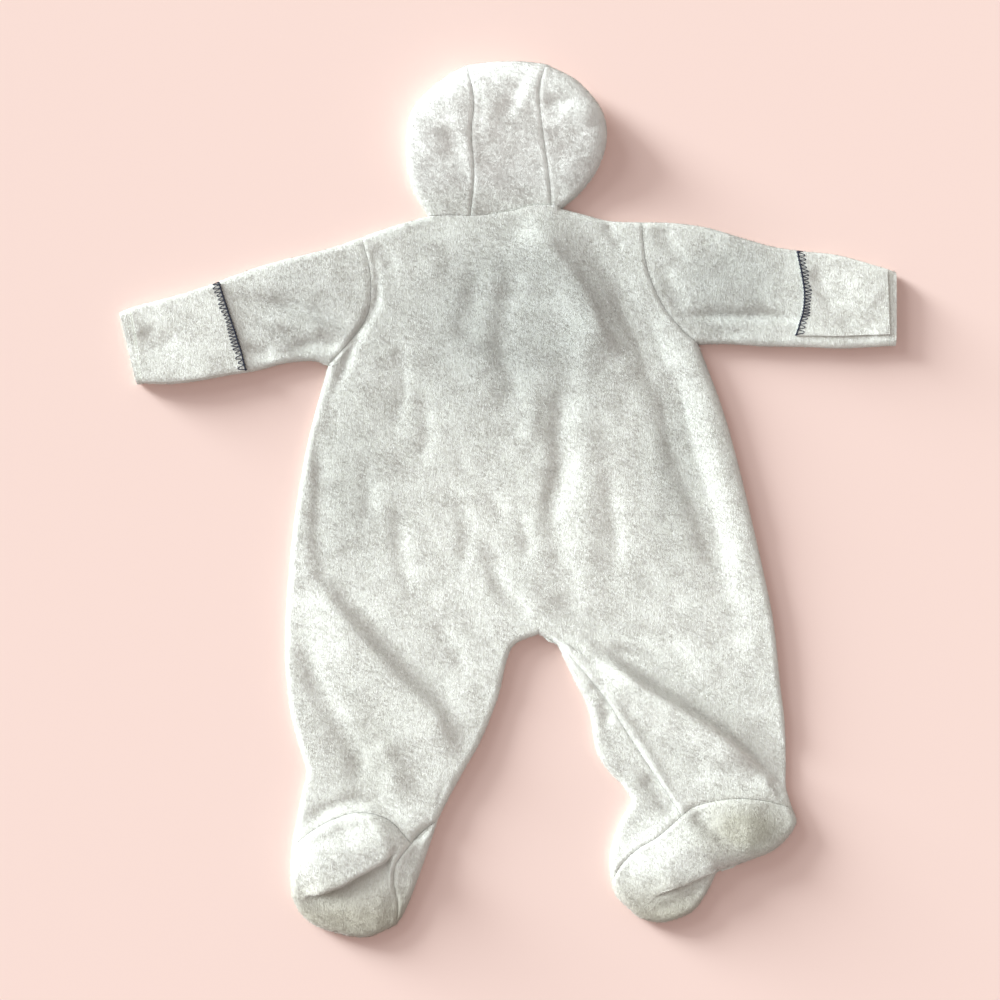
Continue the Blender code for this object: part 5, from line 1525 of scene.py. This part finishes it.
def wired(tree, kind, *sources, **settings):
    """Add a node, set its properties and inputs, and return it."""
    node = tree.nodes.new(kind)
    for key, value in settings.items():
        setattr(node, key, value)
    for place, source in sources:
        if isinstance(source, bpy.types.NodeSocket):
            tree.links.new(source, node.inputs[place])
        else:
            node.inputs[place].default_value = source
    return node


def span(tree, value, start, stop, low=0.0, high=1.0):
    """A value's way from start to stop, given from low to high."""
    return wired(tree, "ShaderNodeMapRange", ("Value", value), ("From Min", start),
                 ("From Max", stop), ("To Min", low), ("To Max", high)).outputs[0]


def blended(tree, share, first, second, way="MIX"):
    """A share of a second colour over a first one."""
    return wired(tree, "ShaderNodeMix", (0, share), (6, first), (7, second),
                 data_type="RGBA", blend_type=way).outputs[2]


def relief(tree, strength, depth, height, *below):
    """Fine relief of a surface, over a coarser one if that is given."""
    return wired(tree, "ShaderNodeBump", ("Strength", strength), ("Distance", depth),
                 ("Height", height), *below).outputs[0]


def set_shader(tree, shader, values):
    """Give the shader its values, and link those that are worked out."""
    for name, value in values.items():
        if isinstance(value, bpy.types.NodeSocket):
            tree.links.new(value, shader.inputs[name])
        else:
            shader.inputs[name].default_value = value


def streaks(tree, place, size, seed):
    """Noise drawn out along the nap, which wanders a little over the cloth."""
    laid = wired(tree, "ShaderNodeMapping", ("Vector", place), ("Location", (seed, seed, 0)),
                 ("Rotation", (0, 0, NAP_TURN)), ("Scale", (1, 1 / NAP_STRETCH, 1)))
    return wired(tree, "ShaderNodeTexNoise", ("Vector", laid.outputs[0]),
                 ("Scale", 1 / (size * MM)), ("Detail", 2.0), ("Roughness", 0.6),
                 ("Distortion", 0.7)).outputs["Fac"]


def mottled(tree, place, light, shade, strokes):
    """Colour between two tones in patches, with the fine strokes of the nap in it; painted
    light on the hood, where those strokes are left out, and painted shade on the toes and in
    soft zones.
    """
    patches = wired(tree, "ShaderNodeTexNoise", ("Vector", place), ("Scale", PATCH_SCALE),
                    ("Detail", 3.0), ("Roughness", 0.6)).outputs["Fac"]
    base = blended(tree, span(tree, patches, *PATCH_SPAN), light, shade)
    stroke = span(tree, strokes, *STROKE_SPAN)
    dark = blended(tree, 1.0, base, FLEECE_FLECK, "MULTIPLY")
    up = wired(tree, "ShaderNodeSeparateXYZ", (0, place)).outputs["Y"]
    # Painted light on the hood: the nap's darker strokes are left out there, so that it is
    # lighter.
    hood_light = span(tree, up, HOOD_LIGHT_FROM, HOOD_LIGHT_TO, high=HOOD_LIGHT_SHARE)
    share = wired(tree, "ShaderNodeMath", (0, stroke), (1, hood_light), operation="MAXIMUM")
    colour = blended(tree, share.outputs[0], dark, base)
    # Painted shade on the toes, growing down the garment.
    toe_shade = span(tree, up, TOE_SHADE_FROM, TOE_SHADE_TO)
    return shade_and_light_zoned(tree, place, blended(tree, toe_shade, colour, TOE_SHADE_TONE, "MULTIPLY"))


def shade_and_light_zoned(tree, place, colour):
    """A colour with soft zones of painted shade, and one of painted light on the hood, over it.
    """
    for (x, y), (reach, height), tone in SHADE_AND_LIGHT_ZONES:
        near = wired(tree, "ShaderNodeMapping", ("Vector", place),
                     ("Location", (-x / reach, -y / height, 0)),
                     ("Scale", (1 / reach, 1 / height, 0)))
        share = wired(tree, "ShaderNodeTexGradient", ("Vector", near.outputs[0]),
                      gradient_type="QUADRATIC_SPHERE").outputs["Fac"]
        colour = blended(tree, span(tree, share, 0.0, TONE_CORE), colour, tone, "MULTIPLY")
    return colour


def fleece_material():
    """Brushed cream fleece: strokes of the nap in colour and relief, and a soft sheen."""
    material, tree, shader = node_material("fleece")
    place = wired(tree, "ShaderNodeTexCoord").outputs["Object"]
    strokes = streaks(tree, place, NAP_SIZE, 0)
    coarse = relief(tree, 0.6, 0.0007, streaks(tree, place, COARSE_NAP, 3))
    set_shader(tree, shader, {
        "Base Color": mottled(tree, place, FLEECE_LIGHT, FLEECE_SHADE, strokes),
        "Normal": relief(tree, 0.9, 0.0008, strokes, ("Normal", coarse)),
        "Roughness": 1.0, "Specular IOR Level": 0.15, "Sheen Weight": 0.35,
        "Sheen Roughness": 0.5})
    return material


def pile_material():
    """Fine hairs of the fleece, in the same tones."""
    material, tree, shader = node_material("fleece_pile")
    place = wired(tree, "ShaderNodeTexCoord").outputs["Object"]
    strokes = streaks(tree, place, NAP_SIZE, 7)
    set_shader(tree, shader, {
        "Base Color": mottled(tree, place, HAIR_COLOUR, HAIR_OTHER, strokes),
        "Roughness": 0.9, "Specular IOR Level": 0.2, "Sheen Weight": 0.35})
    return material


def grained(name, inputs, values, tones=(), rough=(), depth=0.0, kind="ShaderNodeTexNoise",
            **settings):
    """A material with one texture in its colour, its roughness or its relief."""
    material, tree, shader = node_material(name)
    place = wired(tree, "ShaderNodeTexCoord").outputs["Object"]
    grain = wired(tree, kind, ("Vector", place), *inputs, **settings).outputs["Fac"]
    values = dict(values)
    if tones:
        values["Base Color"] = blended(tree, grain, *tones)
    if rough:
        values["Roughness"] = span(tree, grain, 0.0, 1.0, *rough)
    if depth:
        values["Normal"] = relief(tree, 0.5, depth, grain)
    set_shader(tree, shader, values)
    return material


def thread_material(name, dark, light):
    """Twisted sewing thread."""
    return grained(name, (("Scale", 1500.0), ("Detail", 2.0)), {"Roughness": 0.6},
                   tones=(dark, light), depth=0.0002)


def plastic_material():
    """Moulded teeth: smooth cream plastic."""
    return grained("zip_teeth", (("Scale", 700.0), ("Detail", 2.0)),
                   {"Base Color": SEWING_CREAM}, rough=(0.3, 0.48))


def tape_material():
    """Woven zip tape: fine ribs along it."""
    return grained("zip_tape_woven", (("Scale", 420.0), ("Distortion", 0.6), ("Detail", 1.0)),
                   {"Roughness": 0.85}, tones=(TAPE_COLOUR, SEWING_CREAM), depth=0.0002,
                   kind="ShaderNodeTexWave", bands_direction="X")


def metal_material():
    """Brushed nickel, its roughness varied by a fine noise."""
    return grained("zip_metal_brushed", (("Scale", 900.0), ("Detail", 3.0)),
                   {"Base Color": METAL_COLOUR, "Metallic": 1.0}, rough=(0.25, 0.5))


def floor_material():
    """Plain pale rose studio floor."""
    return grained("floor", (("Scale", 1.5), ("Detail", 2.0)),
                   {"Roughness": 1.0, "Specular IOR Level": 0.05},
                   tones=(FLOOR_COLOUR, FLOOR_OTHER))


def make_floor():
    data = bpy.data.meshes.new("floor")
    corners = ((-1, -1), (1, -1), (1, 1), (-1, 1))
    data.from_pydata([(x * FLOOR_HALF, y * FLOOR_HALF, 0) for x, y in corners], [],
                     [(0, 1, 2, 3)])
    data.materials.append(floor_material())
    floor = bpy.data.objects.new("floor", data)
    bpy.context.scene.collection.objects.link(floor)
    return floor


def make_light(floor):
    """Lamps for the floor alone, lamps for all but the floor, and pale surroundings."""
    for name, on_floor, way, spread, power, colour in LAMPS:
        lamp = bpy.data.lights.new(name, "SUN")
        lamp.angle = math.radians(spread)
        lamp.energy = power
        lamp.color = colour
        thing = bpy.data.objects.new(name, lamp)
        thing.rotation_euler = Vector(way).to_track_quat("Z", "Y").to_euler()
        bpy.context.scene.collection.objects.link(thing)
        lit = bpy.data.collections.new("lit_by_" + name)
        lit.objects.link(floor)
        if not on_floor:
            lit.collection_objects[0].light_linking.link_state = "EXCLUDE"
        thing.light_linking.receiver_collection = lit
    world = bpy.data.worlds.new("studio")
    world.use_nodes = True
    surround = world.node_tree.nodes["Background"]
    surround.inputs["Color"].default_value = WORLD_COLOUR
    surround.inputs["Strength"].default_value = WORLD_STRENGTH
    bpy.context.scene.world = world


def make_camera():
    """Camera straight above, at the photograph's frame."""
    data = bpy.data.cameras.new("camera")
    data.lens_unit = "FOV"
    data.angle = 2 * math.atan(VIEW_WIDTH / 2 / CAMERA_HEIGHT)
    data.clip_end = CAMERA_RANGE
    camera = bpy.data.objects.new("camera", data)
    camera.location = (VIEW_CENTRE[0], VIEW_CENTRE[1], CAMERA_HEIGHT + VIEW_LEVEL)
    bpy.context.scene.collection.objects.link(camera)
    bpy.context.scene.camera = camera
    bpy.context.scene.view_settings.view_transform = "Standard"


def make_shells(fleece):
    """All pieces of cloth; gives back the surfaces that thread is laid on."""
    make_back(fleece)
    make_front_left(fleece)
    make_front_right(fleece)
    left = make_sleeve("left", -1, LEFT_SLEEVE, LEFT_CUFF, LEFT_MITT_EDGE, LEFT_MITT_BARE,
                       fleece)
    right = make_sleeve("right", 1, RIGHT_SLEEVE, RIGHT_CUFF, RIGHT_MITT_EDGE,
                        RIGHT_MITT_BARE, fleece)
    make_hood_centre(fleece)
    make_hood_side(-1, HOOD_OUTLINE_LEFT, HOOD_SEAM_LEFT, neck_runs()[0],
                   FRONT_NECK_LEFT, HEM_LEFT, fleece)
    make_hood_side(1, HOOD_OUTLINE_RIGHT, HOOD_SEAM_RIGHT, neck_runs()[2],
                   FRONT_NECK_RIGHT, HEM_RIGHT, fleece)
    make_left_sole(fleece)
    make_right_sole(fleece)
    return left, right


def ride_on(piece, body="garment"):
    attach(piece, body)
    return piece


def rounded_box(left, right, low, high, radius):
    """Outline of a rectangle with round corners, anticlockwise."""
    turns = np.linspace(0, math.pi / 2, ROUND_STEPS)
    corners = ((right - radius, high - radius, 0), (left + radius, high - radius, 1),
               (left + radius, low + radius, 2), (right - radius, low + radius, 3))
    return [(x + radius * math.cos(turn + quarter * math.pi / 2),
             y + radius * math.sin(turn + quarter * math.pi / 2))
            for x, y, quarter in corners for turn in turns]


def bevelled(outline, low, high):
    """Points and faces of a plate whose edges are bevelled."""
    outline = np.asarray(outline, float)
    middle = outline.mean(0)
    reach = np.linalg.norm(outline - middle, axis=1)[:, None]
    inner = middle + (outline - middle) * (1 - BEVEL / reach)
    rings = ((inner, low), (outline, low + BEVEL), (outline, high - BEVEL), (inner, high))
    verts = np.vstack([np.column_stack((ring, np.full(len(ring), z))) for ring, z in rings])
    count = len(outline)
    caps = [tuple(range(count))[::-1], tuple(range(3 * count, 4 * count))]
    return verts, caps + ring_faces(len(rings), count)


def make_parts(name, parts, material, flat=True):
    """Several solids as one joined mesh."""
    verts, faces = [], []
    for more, sides in parts:
        first = sum(len(part) for part in verts)
        verts.append(more)
        faces += [tuple(first + i for i in side) for side in sides]
    thing = make_solid(name, np.vstack(verts), faces, material)
    if flat:
        thing.data.shade_flat()
    return thing


def zip_centre():
    """The zip's middle line, from end to end."""
    centre = smooth(CENTRE_LINE)
    return centre[(centre[:, 1] < ZIP_TOP) & (centre[:, 1] > ZIP_END)]


def zip_line(distances=None):
    """Points along the zip and the way across it, evenly or at given distances."""
    centre = zip_centre()
    if distances is None:
        distances = np.linspace(0, length(centre), ZIP_ROWS * FINE)
    line = read(centre, np.asarray(distances) / length(centre))
    way = np.gradient(line, axis=0)
    way /= np.linalg.norm(way, axis=1)[:, None]
    return line, way, np.stack((-way[:, 1], way[:, 0]), -1)


def make_tapes(material):
    """Both tapes, each with its thick inner edge that carries the teeth."""
    line, _, across = zip_line()
    parts = []
    for side in (-1, 1):
        section = np.array(TAPE_SECTION)
        flat = line[:, None] + side * section[None, :, :1] * across[:, None]
        tall = np.broadcast_to(section[:, 1:], (len(line), len(section), 1))
        verts = np.concatenate((flat, tall), -1).reshape(-1, 3)
        count = len(section)
        faces = [tuple(range(count)), tuple((len(line) - 1) * count + i
                                            for i in reversed(range(count)))]
        faces += [(a, d, c, b) for a, b, c, d in ring_faces(len(line), count)]
        if side < 0:
            faces = [face[::-1] for face in faces]
        parts.append((verts, faces))
    return make_parts("zip_tapes", parts, material, flat=False)


def make_teeth(material):
    """Teeth of the closed chain, those of the two sides in turn."""
    parts = []
    outline = np.array(TOOTH_OUTLINE)
    for side, start in ((-1, TOOTH_START), (1, TOOTH_START + TOOTH_PITCH / 2)):
        distances = np.arange(start, length(zip_centre()) - 1, TOOTH_PITCH)
        for point, way, across in zip(*zip_line(distances)):
            flat = (point + side * outline[:, :1] * across + outline[:, 1:] * way)
            turned = np.cross(flat[1] - flat[0], flat[2] - flat[1])
            parts.append(bevelled(flat if turned > 0 else flat[::-1],
                                  CHAIN_LOW + TOOTH_IN, CHAIN_HIGH - TOOTH_IN))
    return make_parts("zip_teeth", parts, material)


def plate(left, right, bottom, top, radius, low, high):
    """A bevelled plate with round corners."""
    return bevelled(rounded_box(left, right, bottom, top, radius), low, high)


def pin_mesh(x, half, y, radius, sides):
    """A round pin across the zip, at the pull's middle height."""
    level = (PULL_LOW + PULL_HIGH) / 2
    return tube_mesh(((x - half, y, level), (x, y, level), (x + half, y, level)), radius, sides)


def make_slider(material):
    """Slider: outer plate, two flanges round the chain, and ears with a pin."""
    x = CENTRE_LINE[0][0]
    top = ZIP_TOP - SLIDER_TOP
    bottom = top - SLIDER_LENGTH
    half = SLIDER_HALF
    parts = [plate(x - half, x + half, bottom, top, SLIDER_CORNER, SLIDER_LOW, SLIDER_HIGH),
             plate(x - CREST_HALF, x + CREST_HALF, bottom + CREST_BELOW, top - CREST_ABOVE,
                   CREST_CORNER, SLIDER_LOW - CREST_RISE, SLIDER_LOW + CREST_DEPTH)]
    for side in (-1, 1):
        ends = sorted((x + side * half, x + side * (half - EAR_WIDTH)))
        parts.append(plate(*ends, bottom - EAR_LENGTH, bottom + EAR_OVERLAP, EAR_CORNER,
                           SLIDER_LOW, SLIDER_HIGH))
        ends = sorted((x + side * half, x + side * (half - FLANGE)))
        parts.append(plate(*ends, bottom + FLANGE_IN, top - FLANGE_IN, FLANGE_CORNER,
                           SLIDER_HIGH - BEVEL, CHAIN_HIGH - FLANGE_CLEAR))
    parts.append(pin_mesh(x, half - PIN_IN, bottom - 2 * PULL_PIVOT, PIN_THIN, 10))
    return make_parts("zip_slider_fine", parts, material)


def make_pull(material):
    """Pull tab: a knuckle on the pin, a round-ended plate, and ridges to grip."""
    x = CENTRE_LINE[0][0]
    top = ZIP_TOP - SLIDER_TOP - SLIDER_LENGTH - PULL_PIVOT
    half = PULL_HALF
    parts = [plate(x - half, x + half, top - PULL_LENGTH - half, top - PULL_NECK,
                   PULL_CORNER, PULL_LOW, PULL_HIGH),
             plate(x - KNUCKLE_HALF, x + KNUCKLE_HALF, top - KNUCKLE_LENGTH,
                   top - PULL_PIVOT, KNUCKLE_CORNER, PULL_LOW + KNUCKLE_IN,
                   PULL_HIGH - KNUCKLE_IN),
             pin_mesh(x, half - PULL_PIN_IN, top - PULL_PIVOT, PIN_RADIUS, 12)]
    for down in RIDGE_AT:
        parts.append(plate(x - half + RIDGE_IN, x + half - RIDGE_IN, top - down - RIDGE_HALF,
                           top - down + RIDGE_HALF, RIDGE_CORNER, PULL_LOW - RIDGE_RISE,
                           PULL_LOW + BEVEL * 2))
    return make_parts("zip_pull_fine", parts, material)


def make_zip():
    """Tapes, teeth, slider and pull, in place of their solids."""
    tapes = ride_on(make_tapes(tape_material()))
    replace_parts(tapes, "zip")
    ride_on(make_teeth(plastic_material()))
    metal = metal_material()
    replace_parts(ride_on(make_slider(metal)), "zip_slider")
    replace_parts(ride_on(make_pull(metal), "pull"), "zip_pull")


def make_sewing(arms):
    """Navy overlocking on the mittens and cream stitching on the cuffs, by node."""
    navy = thread_material("thread_navy", NAVY, NAVY_LIGHT)
    cream = thread_material("thread_cream", SEWING_CREAM, TAPE_COLOUR)
    added = {}
    for name, (lid, band), pitches in zip(("left", "right"), arms,
                                          (PITCH_LEFT, PITCH_RIGHT)):
        paths = overlock(Lid(lid), pitches)
        radii = [STITCH_RADIUS] + [ROPE_RADIUS] * (len(paths) - 1)
        threads = [tube_mesh(path, radius) for path, radius in zip(paths, radii)]
        edge = make_parts("overlock_" + name, threads, navy, flat=False)
        stitches = cuff_stitching("cuff_stitches_" + name, band, cream)
        added["mitt_" + name] = [ride_on(edge)]
        added["cuff_" + name] = [ride_on(stitches)]
    return added


def main():
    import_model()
    make_camera()
    make_light(make_floor())
    arms = make_shells(fleece_material())
    added = make_sewing(arms)
    pile = pile_material()
    for seed, (name, nodes, count, sheet, band) in enumerate(PILE):
        things = [bpy.data.objects[node + "_cloth"] for node in nodes]
        piece = make_pile(name, things, count, band, seed, pile)
        added.setdefault(sheet, []).append(ride_on(piece))
    for node in SHELLS:
        piece = ride_on(bpy.data.objects[node + "_cloth"])
        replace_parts(piece, node)
    make_zip()


main()
